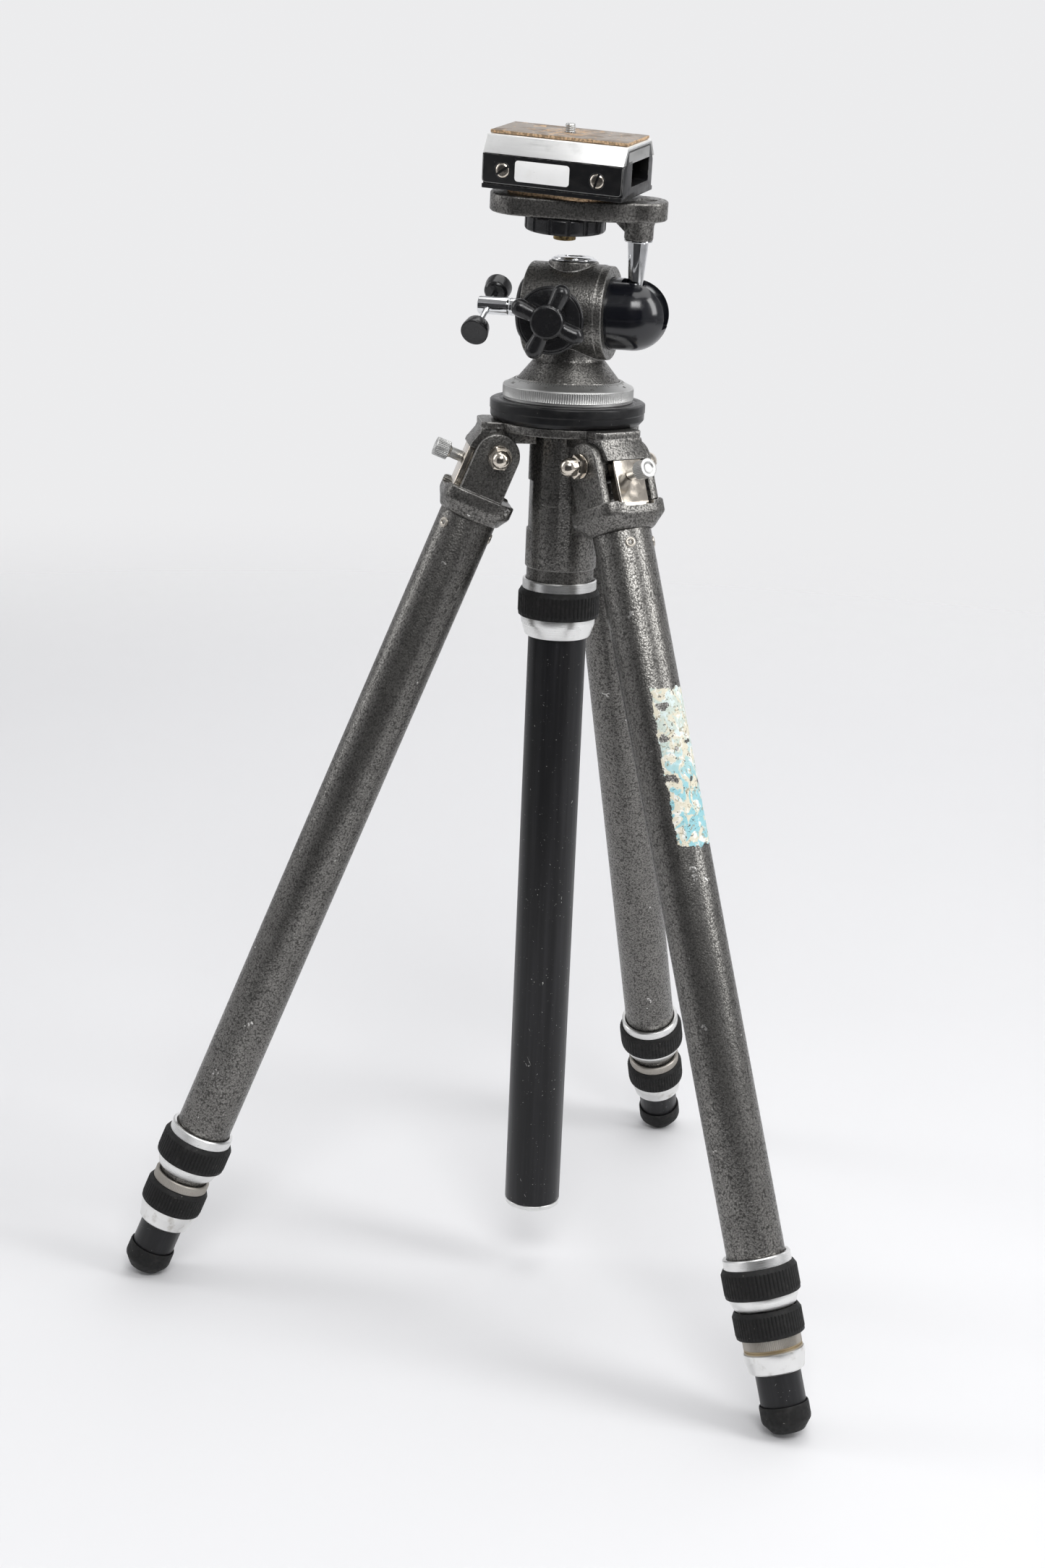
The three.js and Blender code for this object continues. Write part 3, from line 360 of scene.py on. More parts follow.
    def scratches(self, colour, amount=0.74, size=26, turn=0.6):
        """Thin scratches that run in three directions."""
        for number, angle in enumerate((turn, turn + 1.1, turn - 1.3)):
            where = self.node("Mapping", {"Vector": self.place, "Rotation": (angle, angle * 2, number)})
            stretch = self.node("Mapping", {"Vector": where.outputs[0], "Scale": (1, 14, 14)})
            inputs = {"Vector": stretch.outputs[0], "Scale": 1 / (size * MM), "Detail": 2.0}
            streak = self.band(self.node("TexNoise", inputs).outputs[0], amount, amount + 0.02)
            mask = self.times(streak, self.band(self.grain(9 + number), 0.5, 0.56))
            self.tint(mask, colour)
            self.gloss(mask, 0.5)

    def done(self, **sockets):
        self.feed(self.shader.inputs["Base Color"], self.colour)
        self.feed(self.shader.inputs["Metallic"], self.metallic)
        self.feed(self.shader.inputs["Roughness"], self.roughness)
        if self.normal is not None:
            self.feed(self.shader.inputs["Normal"], self.normal)
        for key, value in sockets.items():
            self.shader.inputs[key.replace("_", " ")].default_value = value
        return self.material


def hammertone(name, finish, edge=0.0, wear=1.0):
    """Grey hammer enamel: raised metallic cells in a dark network, worn bright on the edges."""
    coat = Coat(name, finish.hammer_light, 0.9, 0.3)
    if edge:
        coat.soften(edge)
    cell = coat.cells(finish.hammer_cell, warp=0.9)
    fine = coat.grain(finish.hammer_cell * 0.7, detail=2.0)
    cloud = coat.grain(14)
    coat.tint(coat.band(fine, 0.35, 0.68), [part * 0.52 for part in finish.hammer_light])
    coat.tint(coat.times(coat.band(cell, 0.46, 0.8), 0.7), finish.hammer_dark)
    coat.tint(coat.times(coat.band(cloud, 0.42, 0.72), 0.18), finish.hammer_dark)
    sparkle = coat.times(
        coat.band(coat.grain(0.8, detail=1.0), 0.66, 0.74), coat.invert(coat.band(cell, 0.3, 0.5))
    )
    coat.tint(coat.times(sparkle, 0.6), (0.60, 0.59, 0.56))
    coat.gloss(coat.band(cell, 0.3, 0.8), 0.45)
    coat.dent(coat.invert(cell), 0.1)
    coat.dent(coat.grain(3.2, detail=2.0), 0.08)
    if edge:
        worn = coat.band(coat.grain(5, detail=5.0), 0.56 - 0.2 * wear, 0.68 - 0.2 * wear)
        coat.bare(
            coat.times(coat.edges(0.01, 0.12), worn, finish.edge_wear * 1.6 * wear), finish.bare_metal
        )
    chips = coat.times(
        coat.band(coat.grain(11, detail=2.0), 0.715, 0.72), coat.band(coat.grain(1.8), 0.5, 0.53)
    )
    coat.bare(chips, finish.bare_metal)
    return coat.done()


def black_paint(finish):
    """Black enamel with rubbed edges and fine scratches."""
    coat = Coat("black_paint", finish.black, 0.0, 0.3)
    coat.soften(0.6)
    coat.tint(coat.band(coat.grain(7), 0.45, 0.75), (0.013, 0.013, 0.013))
    coat.gloss(coat.band(coat.grain(3.5, detail=5.0), 0.4, 0.75), 0.42)
    coat.scratches((0.12, 0.12, 0.115), 0.725)
    rim = coat.times(coat.edges(0.03, 0.2), coat.band(coat.grain(3.2, detail=5.0), 0.44, 0.62))
    coat.bare(coat.times(rim, finish.edge_wear * 1.7), (0.42, 0.41, 0.39))
    coat.dent(coat.grain(2.2, detail=4.0), 0.03)
    return coat.done(Specular_IOR_Level=0.3)


def gloss_black(finish):
    """Deep black enamel of the barrel, with a few nicks."""
    coat = Coat("gloss_black", (0.004, 0.0045, 0.007), 0.0, 0.17)
    coat.soften(0.5)
    coat.tint(coat.band(coat.grain(9), 0.5, 0.8), (0.009, 0.009, 0.011))
    coat.gloss(coat.band(coat.grain(5, detail=5.0), 0.42, 0.8), 0.3)
    nicks = coat.times(
        coat.band(coat.grain(6.5, detail=2.0), 0.70, 0.72), coat.band(coat.grain(1.2), 0.5, 0.54)
    )
    coat.bare(nicks, (0.45, 0.44, 0.42))
    rim = coat.times(coat.edges(0.03, 0.2), coat.band(coat.grain(2.6, detail=5.0), 0.5, 0.62))
    coat.bare(coat.times(rim, finish.edge_wear), (0.34, 0.33, 0.32))
    coat.dent(coat.grain(6, detail=3.0), 0.05)
    return coat.done(Coat_Weight=0.25, Coat_Roughness=0.1)


def black_anodised(finish):
    """Satin black tube with faint lines along it and small bright specks."""
    coat = Coat("black_anodised", finish.black, 0.0, 0.34)
    coat.tint(coat.band(coat.grain(3, (1, 1, 0.03)), 0.4, 0.8), (0.016, 0.016, 0.018))
    coat.gloss(coat.band(coat.grain(2.4, (1, 1, 0.05), detail=4.0), 0.35, 0.8), 0.45)
    specks = coat.times(
        coat.band(coat.grain(1.6, detail=2.0), 0.73, 0.76), coat.band(coat.grain(22), 0.46, 0.6)
    )
    coat.bare(specks, (0.5, 0.5, 0.48))
    coat.scratches((0.3, 0.3, 0.29), 0.73, 13)
    coat.dent(coat.grain(2, (1, 1, 0.06), detail=3.0), 0.02)
    return coat.done(Specular_IOR_Level=0.3)


def bright_aluminium(name, colour, roughness):
    """Turned aluminium with fine rings and a few stains."""
    coat = Coat(name, colour, 1.0, roughness)
    rings = coat.grain(24, (1, 1, 90), detail=4.0)
    coat.tint(
        coat.times(coat.band(coat.grain(9, detail=5.0), 0.5, 0.78), 0.45), [part * 0.72 for part in colour]
    )
    coat.tint(coat.times(coat.band(rings, 0.5, 0.75), 0.25), [part * 0.8 for part in colour])
    coat.gloss(coat.band(rings, 0.3, 0.75), roughness + 0.12)
    coat.dent(rings, 0.02)
    coat.scratches([part * 0.45 for part in colour], 0.74, 11)
    return coat.done()


def stepped_aluminium(finish):
    """A lock nut's metal: bright at the lower taper, warm and dull under and above the grip."""
    coat = Coat("stepped_aluminium", (0.80, 0.80, 0.79), 1.0, 0.28)
    height = coat.height("Z")
    coat.tint(coat.band(height, -NUT2_STEP - 0.3, -NUT2_STEP + 0.3), (0.42, 0.395, 0.36))
    groove = coat.times(coat.band(height, -NUT2_STEP + 0.3, -NUT2_STEP + 0.9),
                        coat.invert(coat.band(height, -NUT2_STEP + 2.4, -NUT2_STEP + 3.4)))
    coat.tint(coat.times(groove, 0.8), (0.36, 0.27, 0.14))
    coat.tint(coat.times(coat.band(coat.grain(6, detail=5.0), 0.5, 0.75), 0.5), (0.36, 0.33, 0.28))
    coat.gloss(coat.band(height, -NUT2_STEP - 0.3, -NUT2_STEP + 0.3), 0.46)
    coat.dent(coat.grain(24, (1, 1, 90), detail=4.0), 0.02)
    return coat.done()


def plated(name, colour, dull, roughness):
    """Polished plating with clouded patches."""
    coat = Coat(name, colour, 1.0, roughness)
    coat.tint(coat.times(coat.band(coat.grain(7, detail=4.0), 0.5, 0.75), 0.5), dull)
    coat.tint(
        coat.times(coat.band(coat.grain(1.1, detail=2.0), 0.66, 0.72), 0.5), [part * 0.5 for part in dull]
    )
    coat.gloss(coat.band(coat.grain(5, detail=5.0), 0.42, 0.8), roughness + 0.14)
    coat.dent(coat.grain(9), 0.05)
    return coat.done()


def bakelite(finish):
    """Moulded black phenolic with a handled, slightly cloudy shine."""
    coat = Coat("bakelite", (0.009, 0.009, 0.010), 0.0, 0.2)
    coat.soften(0.5)
    coat.tint(coat.band(coat.grain(5, detail=5.0, warp=1.0), 0.5, 0.85), (0.016, 0.016, 0.015))
    coat.gloss(coat.band(coat.grain(4, detail=5.0), 0.42, 0.8), 0.36)
    coat.scratches((0.05, 0.05, 0.048), 0.73, 9)
    rim = coat.times(coat.edges(0.04, 0.25), coat.band(coat.grain(2.5, detail=4.0), 0.5, 0.66))
    coat.tint(coat.times(rim, finish.edge_wear), (0.07, 0.07, 0.066))
    coat.dent(coat.grain(4.5, detail=2.0), 0.03)
    return coat.done(Specular_IOR_Level=0.5)


def rubber(finish):
    """Matt rubber with dust on its raised parts."""
    coat = Coat("rubber", finish.rubber, 0.0, 0.55)
    coat.soften(0.4)
    coat.tint(coat.times(coat.band(coat.grain(6, detail=5.0), 0.5, 0.8), 0.6), (0.030, 0.029, 0.028))
    coat.tint(coat.times(coat.edges(0.02, 0.25), 0.5), (0.045, 0.044, 0.042))
    specks = coat.times(
        coat.band(coat.grain(1.5, detail=2.0), 0.72, 0.75), coat.band(coat.grain(16), 0.5, 0.6)
    )
    coat.tint(specks, (0.22, 0.21, 0.19))
    coat.gloss(coat.band(coat.grain(2.0), 0.4, 0.7), 0.72)
    coat.dent(coat.grain(0.7, detail=3.0), 0.05)
    return coat.done(Specular_IOR_Level=0.25)


def cork(name, finish, worn):
    """Pressed cork: pale and dark granules; a worn pad is greasy grey brown on its upper face."""
    coat = Coat(name, finish.cork, 0.0, 0.85)
    granule = coat.cells(1.4, warp=0.5)
    coat.tint(coat.band(granule, 0.35, 0.75), [part * 0.45 for part in finish.cork])
    coat.tint(coat.band(coat.grain(1.1, detail=3.0), 0.58, 0.72), (0.72, 0.42, 0.22))
    coat.tint(coat.band(coat.grain(2.0, detail=2.0), 0.66, 0.74), (0.10, 0.05, 0.03))
    if worn:
        top = coat.band(coat.facing("Z"), 0.6, 0.9)
        rubbed = coat.band(coat.grain(15, detail=5.0, warp=0.6), 0.36, 0.56)
        coat.tint(coat.times(top, 0.96), (0.17, 0.14, 0.115))
        coat.tint(coat.times(top, rubbed, 0.8), (0.25, 0.215, 0.185))
        coat.tint(
            coat.times(top, coat.band(coat.grain(7, detail=6.0, warp=1.5), 0.62, 0.66)), (0.50, 0.33, 0.19)
        )
        coat.tint(
            coat.times(top, coat.band(coat.grain(1.3, detail=2.0), 0.63, 0.7), 0.7), (0.05, 0.04, 0.03)
        )
        across = coat.sums("POWER", coat.height("X"), 2.0)
        along = coat.sums("POWER", coat.height("Y"), 2.0)
        radius = coat.sums("SQRT", coat.sums("ADD", across, along), 0.5)
        near = coat.times(
            coat.invert(coat.band(radius, 11, 17)), coat.band(coat.grain(3.5, detail=5.0), 0.44, 0.56)
        )
        coat.tint(coat.times(top, near, 0.8), (0.44, 0.29, 0.17))
        coat.gloss(coat.times(top, rubbed), 0.42)
    coat.dent(coat.invert(granule), 0.18)
    return coat.done()


def brass(finish):
    """Dark brass with dirt in its knurl."""
    coat = Coat("brass", (0.46, 0.34, 0.16), 1.0, 0.42)
    coat.tint(coat.band(coat.grain(3, detail=5.0), 0.4, 0.7), (0.11, 0.085, 0.05))
    cross = coat.cells(0.9, "DISTANCE_TO_EDGE")
    coat.dent(coat.band(cross, 0.0, 0.2), 0.12)
    coat.gloss(coat.band(coat.grain(2), 0.4, 0.7), 0.6)
    return coat.done()


def level_glass(finish):
    """Dark glass of the spirit level, faintly clouded, with small pale specks."""
    coat = Coat("level_glass", (0.045, 0.052, 0.04), 0.0, 0.06)
    coat.tint(coat.band(coat.grain(7), 0.4, 0.75), (0.10, 0.11, 0.085))
    coat.tint(coat.times(coat.band(coat.grain(1.5, detail=3.0), 0.6, 0.72), 0.5), (0.2, 0.2, 0.19))
    coat.gloss(coat.band(coat.grain(3), 0.5, 0.8), 0.16)
    return coat.done(Coat_Weight=0.6)


def white_label(finish):
    """White printed foil, slightly yellowed, with no marks on it."""
    coat = Coat("white_label", (0.93, 0.93, 0.92), 0.0, 0.35)
    coat.tint(coat.times(coat.band(coat.grain(6, detail=5.0), 0.45, 0.8), 0.5), (0.86, 0.85, 0.82))
    coat.tint(coat.band(coat.grain(0.8, detail=2.0), 0.74, 0.78), (0.35, 0.34, 0.32))
    coat.gloss(coat.band(coat.grain(4), 0.4, 0.8), 0.48)
    coat.dent(coat.grain(1.8, detail=3.0), 0.02)
    return coat.done()


def scale_ink(finish):
    """Dark paint of the scale marks."""
    coat = Coat("scale_ink", (0.05, 0.05, 0.048), 0.0, 0.6)
    coat.tint(coat.band(coat.grain(1.2, detail=3.0), 0.4, 0.7), (0.14, 0.135, 0.12))
    coat.gloss(coat.band(coat.grain(2), 0.4, 0.7), 0.75)
    return coat.done()


def torn_paper(finish):
    """Remains of a paper sticker: cream paper, pale blue print and dirt."""
    coat = Coat("torn_paper", (0.66, 0.62, 0.50), 0.0, 0.8)
    blue = coat.band(coat.grain(7, (1, 1, 0.8), detail=6.0, warp=1.2), 0.47, 0.53)
    down = coat.band(coat.times(coat.height("Z"), -1.0), 150, 205)
    coat.tint(coat.band(coat.grain(5, detail=6.0, warp=0.8), 0.5, 0.6), (0.78, 0.77, 0.72))
    coat.tint(coat.times(blue, coat.sums("MAXIMUM", down, 0.35), 0.85), (0.20, 0.52, 0.60))
    coat.tint(
        coat.times(coat.band(coat.grain(4, detail=6.0, warp=2.0), 0.6, 0.63), 0.8), (0.30, 0.27, 0.19)
    )
    dirt = coat.band(coat.grain(2.2, detail=5.0, warp=1.0), 0.64, 0.67)
    coat.tint(dirt, (0.055, 0.05, 0.045))
    coat.tint(coat.band(coat.grain(1.3, detail=3.0), 0.70, 0.73), (0.02, 0.02, 0.02))
    coat.gloss(blue, 0.62)
    coat.dent(coat.grain(2.4, detail=6.0), 0.18)
    return coat.done()


FINISHES = {
    "hammertone": lambda f: hammertone("hammertone", f),
    "hammertone_cast": lambda f: hammertone("hammertone_cast", f, 0.9, 1.1),
    "black_paint": black_paint,
    "gloss_black": gloss_black,
    "black_anodised": black_anodised,
    "bright_aluminium": lambda f: bright_aluminium("bright_aluminium", (0.80, 0.80, 0.79), 0.26),
    "hood_aluminium": lambda f: bright_aluminium("hood_aluminium", (0.93, 0.93, 0.92), 0.42),
    "satin_aluminium": lambda f: bright_aluminium("satin_aluminium", (0.56, 0.56, 0.55), 0.4),
    "stepped_aluminium": stepped_aluminium,
    "warm_aluminium": lambda f: bright_aluminium("warm_aluminium", (0.60, 0.56, 0.50), 0.34),
    "nickel": lambda f: plated("nickel", (0.70, 0.64, 0.56), (0.46, 0.41, 0.33), 0.15),
    "chrome": lambda f: plated("chrome", (0.78, 0.79, 0.80), (0.55, 0.56, 0.57), 0.05),
    "bakelite": bakelite,
    "rubber": rubber,
    "cork": lambda f: cork("cork", f, False),
    "worn_cork": lambda f: cork("worn_cork", f, True),
    "brass": brass,
    "level_glass": level_glass,
    "white_label": white_label,
    "scale_ink": scale_ink,
    "torn_paper": torn_paper,
}


def finish_of(name):
    """The material of that finish, made when it is first asked for."""
    made = bpy.data.materials.get(f"{name}_coat")
    return made or FINISHES[name](bpy.context.scene.tripod_finish)


# ---------------------------------------------------------------- forms, in millimetres


def rounded(points, radius, steps=3, closed=True, only=None):
    """Rounds the corners of an outline or profile."""
    soft = []
    count = len(points)
    for index, point in enumerate(points):
        here = Vector(point)
        ends = not closed and index in (0, count - 1)
        if ends or radius <= 0 or (only is not None and index not in only):
            soft.append(tuple(here))
            continue
        before = Vector(points[index - 1]) - here
        after = Vector(points[(index + 1) % count]) - here
        if before.length < 1e-6 or after.length < 1e-6 or before.angle(after) > math.radians(160):
            soft.append(tuple(here))
            continue
        reach = min(radius, before.length * 0.45, after.length * 0.45)
        start, end = here + before.normalized() * reach, here + after.normalized() * reach
        for step in range(steps + 1):
            t = step / steps
            soft.append(tuple(start * (1 - t) ** 2 + here * 2 * t * (1 - t) + end * t * t))
    return soft


def turned(profile, steps=FINE, shape=None):
    """A closed body turned about Z; shape(radius, height, angle) may change the radius."""
    capped = abs(profile[0][0]) < 1e-6 and abs(profile[-1][0]) < 1e-6
    rows = profile[1:-1] if capped else profile
    corners = []
    for radius, height in rows:
        for step in range(steps):
            angle = 2 * math.pi * step / steps
            r = shape(radius, height, angle) if shape else radius
            corners.append((r * math.cos(angle), r * math.sin(angle), height))
    faces = []
    count = len(rows)
    for row in range(count - 1 if capped else count):
        low, high = row * steps, ((row + 1) % count) * steps
        for step in range(steps):
            after = (step + 1) % steps
            faces.append((low + step, low + after, high + after, high + step))
    if capped:
        corners += [(0, 0, profile[0][1]), (0, 0, profile[-1][1])]
        bottom, top, last = len(corners) - 2, len(corners) - 1, (count - 1) * steps
        for step in range(steps):
            after = (step + 1) % steps
            faces.append((bottom, after, step))
            faces.append((top, last + step, last + after))
    return corners, faces


def ring(inner, outer, low, high, edge=0.3, steps=FINE, shape=None):
    square = [(inner, low), (outer, low), (outer, high), (inner, high)]
    return turned(rounded(square, edge, 2), steps, shape)


def rod(radius, low, high, edge=0.0, steps=ROUND):
    profile = rounded([(0, low), (radius, low), (radius, high), (0, high)], edge, 2, closed=False)
    return turned(profile, steps)


def ribs(count, depth, low, high, share=0.5):
    """A rule for turned() that cuts narrow grooves between the ribs."""

    def shape(radius, height, angle):
        if not low <= height <= high:
            return radius
        wave = 0.5 - 0.5 * math.cos(angle * count)
        return radius - depth * max(0.0, (wave - share) / (1 - share)) ** 0.8

    return shape


def inset(points, distance):
    """The outline drawn in by a small distance."""
    drawn = []
    count = len(points)
    for index in range(count):
        here = Vector(points[index])
        before = (here - Vector(points[index - 1])).normalized()
        after = (Vector(points[(index + 1) % count]) - here).normalized()
        side = Vector((-(before + after).y, (before + after).x))
        if side.length < 1e-6:
            side = Vector((-before.y, before.x))
        side.normalize()
        cosine = max(0.5, side.dot(Vector((-before.y, before.x))))
        drawn.append(tuple(here + side * (distance / cosine)))
    return drawn


def slab(points, low, high, edge=0.0, steps=2):
    """A flat body of that outline, listed anticlockwise, with rounded rims."""
    rows = []
    if edge > 0:
        turns = [math.pi / 2 * step / steps for step in range(steps + 1)]
        rows += [(edge * (1 - math.sin(t)), low + edge * (1 - math.cos(t))) for t in turns]
        rows += [(edge * (1 - math.sin(t)), high - edge * (1 - math.cos(t))) for t in reversed(turns)]
    else:
        rows = [(0, low), (0, high)]
    count = len(points)
    corners = []
    for distance, height in rows:
        drawn = inset(points, distance) if distance > 1e-6 else points
        corners += [(x, y, height) for x, y in drawn]
    faces = [tuple(reversed(range(count)))]
    for row in range(len(rows) - 1):
        for index in range(count):
            after = (index + 1) % count
            a, b = row * count, (row + 1) * count
            faces.append((a + index, a + after, b + after, b + index))
    top = (len(rows) - 1) * count
    faces.append(tuple(range(top, top + count)))
    return corners, faces


def box(x, y, z, edge=0.0):
    return slab([(x[0], y[0]), (x[1], y[0]), (x[1], y[1]), (x[0], y[1])], z[0], z[1], edge)


def oblong(x, y, radius, steps=6):
    """A rectangle's outline with round corners."""
    corners = [(x[0], y[0]), (x[1], y[0]), (x[1], y[1]), (x[0], y[1])]
    centres = [(x[0] + radius, y[0] + radius), (x[1] - radius, y[0] + radius),
               (x[1] - radius, y[1] - radius), (x[0] + radius, y[1] - radius)]
    points = []
    for index, (cx, cy) in enumerate(centres):
        for step in range(steps + 1):
            angle = math.pi * (1 + index / 2) + math.pi / 2 * step / steps
            points.append((cx + radius * math.cos(angle), cy + radius * math.sin(angle)))
    return points if radius > 0 else corners


def aimed(form, *turns):
    """The form turned or shifted by each matrix in order."""
    corners, faces = form
    for turn in turns:
        corners = [tuple(turn @ Vector(corner)) for corner in corners]
    return corners, faces


def shift(x=0.0, y=0.0, z=0.0):
    return Matrix.Translation((x, y, z))


def spin(angle):
    return Matrix.Rotation(angle, 4, "Z")


# ---------------------------------------------------------------- making pieces


def rough_cut(form, name="form"):
    """A loose object of that form, not yet in its place."""
    corners, faces = form
    mesh = bpy.data.meshes.new(name)
    mesh.from_pydata([[part * MM for part in corner] for corner in corners], [], faces)
    mesh.validate()
    work = bmesh.new()
    work.from_mesh(mesh)
    bmesh.ops.recalc_face_normals(work, faces=work.faces)
    work.to_mesh(mesh)
    work.free()
    piece = bpy.data.objects.new(name, mesh)
    bpy.context.scene.collection.objects.link(piece)
    return piece


def settle(piece):
    """Makes the piece's modifiers part of its mesh."""
    bpy.context.view_layer.update()
    shown = piece.evaluated_get(bpy.context.evaluated_depsgraph_get())
    mesh = bpy.data.meshes.new_from_object(shown)
    old = piece.data
    piece.modifiers.clear()
    piece.data = mesh
    bpy.data.meshes.remove(old)
    return piece


def worked(form, tools, operation):
    """The form joined with or cut by each tool."""
    piece = rough_cut(form) if isinstance(form, tuple) else form
    for tool in tools:
        other = rough_cut(tool) if isinstance(tool, tuple) else tool
        step = piece.modifiers.new(operation, "BOOLEAN")
        step.operation = operation
        step.solver = "EXACT"
        step.object = other
        settle(piece)
        bpy.data.objects.remove(other)
    return piece


def joined(form, *others):
    return worked(form, others, "UNION")


def carved(form, *tools):
    return worked(form, tools, "DIFFERENCE")


def moulded(piece, voxel, rounds):
    """Runs the joins into one another as a moulding does."""
    step = piece.modifiers.new("remesh", "REMESH")
    step.mode = "VOXEL"
    step.voxel_size = voxel * MM
    step = piece.modifiers.new("smooth", "SMOOTH")
    step.factor = 0.5
    step.iterations = rounds
    return settle(piece)


def keep_place(mesh):
    """Notes each point's place in the piece's own directions, for the grain of its finish."""
    own = mesh.attributes.new(MADE_AT, "FLOAT_VECTOR", "POINT")
    own.data.foreach_set("vector", [part for vertex in mesh.vertices for part in vertex.co])


def add(name, form, finish, place, node=None, body=None, sharp=32):
    """Puts a piece in its place: it rides a body, and stands for a CAD node if one is given."""
    piece = rough_cut(form, name) if isinstance(form, tuple) else form
    piece.name = name
    piece.data.name = name
    piece.data.materials.clear()
    piece.data.materials.append(finish_of(finish))
    piece.data.shade_smooth()
    piece.data.set_sharp_from_angle(angle=math.radians(sharp))
    keep_place(piece.data)
    piece.data.transform(place)
    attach(piece, body or frame["nodes"][node]["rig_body"])
    if node:
        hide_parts(node)
    return piece


# ---------------------------------------------------------------- sizes, in millimetres

UPPER_R, MIDDLE_R, LOWER_R, TUBE_WALL = 18, 16, 14, 1.5
UPPER_TOP, UPPER_END = 34.3, 505
NUT1_TOP, NUT1_BOTTOM = 487, 519
MIDDLE_SHOWN = {"left": 4, "right": 3, "rear": 6}
GRIP_CREEP = {"left": 0, "right": 9, "rear": 0}
MIDDLE_LENGTH, LOWER_LENGTH, NUT_OVERLAP = 470, 495, 18
FOOT_TOP, FOOT_RIM, FOOT_CONE, FOOT_TIP_R, FOOT_WALL = 578, 10, 7, 10, 1.3
EAR_OUTER, EAR_THICK, EAR_R, EAR_SHIFT = 21.5, 5.5, 13.8, 1.2
EAR_INNER = EAR_OUTER - EAR_THICK
PIN_R, DOME_NUT_R, DOME_NUT_LENGTH = 4.5, 7.4, 14.5
COLLAR_TOP, COLLAR_CREST, COLLAR_BOTTOM, COLLAR_HALF = 26, 34, 43, 22.6
COLLAR_WIDEN, COLLAR_SQUARENESS = 1.07, 4.5
WINDOW_FLOOR = 27.5
LATCH_HALF, LATCH_THICK, LATCH_FACE, LATCH_TOP, LATCH_BOTTOM, LATCH_FLANGE = 11, 2, 18.3, 1.5, 29.5, 4
PULL_DROP, PULL_STEM_R, PULL_STEM, PULL_HEAD_R, PULL_HEAD = 10.5, 3.4, 9, 5.8, 9
NUT_RING, GRIP_SEAT = 6, 0.6
RIVET_DROP, RIVET_R, RIVET_RISE = 51, 3.25, 0.8
NUT1_LENGTH, NUT1_WALL, NUT1_TAIL, GRIP1_THICK = 32, 2.6, 7.5, 2.8
NUT2_LENGTH, NUT2_WALL, NUT2_TAIL, GRIP2_THICK = 36, 2.3, 12.5, 2.4
COLUMN_NUT_LENGTH, COLUMN_NUT_WALL, COLUMN_NUT_TAIL, COLUMN_GRIP_THICK = 36.5, 1.9, 12.5, 2.7
RIVETS = {"left": (37, 168, 285), "right": (-26, 55, 175), "rear": (30, 150, 270)}
HINGE_RADIUS, SPLAY = 43.5, math.radians(21.5)
SPIDER_R, SPIDER_TOP, SPIDER_PLATE = 44.8, 21, 5.5
LUG_R, LUG_ROOT, SHELF_R, SHELF_HALF, SHELF_THICK = 11.6, 8, 54.6, 17.3, 4
SLEEVE_FLAT_TOP = -16
SLEEVE_R, SLEEVE_FLAT, SLEEVE_BOTTOM = 22.4, 20.4, -70.5
NECK_R, NECK_SHOWN, NECK_HIDDEN = 21.2, 7.5, 12
COLUMN_R, COLUMN_WALL, COLUMN_LENGTH, COLUMN_CAP, PLUG = 18.4, 2, 527, 3, 14
PLATFORM_BOTTOM, PLATFORM_TOP, PLATFORM_R, PLATFORM_CHAMFER = 21.3, 34, 48.1, 2.5
AXIS_RISE, PAN_R, PAN_RIM, PAN_BEVEL = 54, 40.5, 8.7, 3.8
BASE_R, CONE_TOP_R, CONE_RISE = 31.5, 21, 12
BARREL_R, BARREL_REACH, HOUSING_R, HOUSING_HALF = 21.6, 39, 28.75, 25.5
BOSS_R, BOSS_TOP, LEVEL_R, LEVEL_THICK = 15.4, 30, 13.8, 2.6
END_CAP_R, END_CAP_THICK = 19.5, 6
ROD_R, ROD_LENGTH, CROSS_R, CROSS_FRONT, CROSS_REAR, CROSS_FROM_END = 5.5, 27, 1.9, 32.8, 23.5, 6
CROSS_KNOB_R, CROSS_KNOB_LENGTH = 8.5, 9.6
STAR_SHIFT, STAR_DROP, STAR_STAND, STAR_SHAFT_R = -9.2, 3.5, 3.3, 4
SKIRT_R, SKIRT_RIM, SKIRT_RISE, HUB_R, HUB_FRONT = 20.5, 2, 2.5, 10.2, 49
ARM_R, ARM_REACH, ARM_OUT, ARM_TURN, ARMS = 5.6, 18.4, 43.2, math.radians(66), 4
BALL_R, SLOT_HALF, STEM_R, STEM_TOP_R = 17, 6.9, 4.7, 6.4
PLATE_UNDER, PLATE_TOP, PLATE_BOSS_R, PLATE_BOSS_FLARE, PLATE_BOSS = 57.8, 69.2, 8.8, 10.2, 13.2
PLATE_LEFT, PLATE_RIGHT, PLATE_HALF, PLATE_CORNER, EAR_END_R, PLATE_WAIST = -90.7, 16.5, 24, 20, 15, -14
WHEEL_R, WHEEL_THICK, WHEEL_NOTCHES, NOTCH_R = 24.6, 9.5, 14, 2
SCREW_R, SCREW_HEAD_R, SCREW_HEAD, SCREW_BITE = 4.7, 6.8, 5.4, 6
SEAT_CORK, TOP_CORK, PAD_INSET, PAD_END_INSET = 3.1, 1.9, 2.2, 1
BLOCK_BOTTOM = PLATE_TOP + SEAT_CORK
BLOCK_HALF, BLOCK_DEEP, BLOCK_HEIGHT, BEVEL_IN, BEVEL_DOWN = 44, 28.75, 30.8, 6.6, 10.3
BLOCK_TOP = BLOCK_BOTTOM + BLOCK_HEIGHT
HOOD_THICK, HOOD_SKIRT, COVER_THICK, COVER_BOTTOM, COVER_CORNER = 1.6, 1.5, 1.8, 3, 3
CHANNEL_FRONT, CHANNEL_BACK, CHANNEL_TOP_FRONT = -12, 19, -19
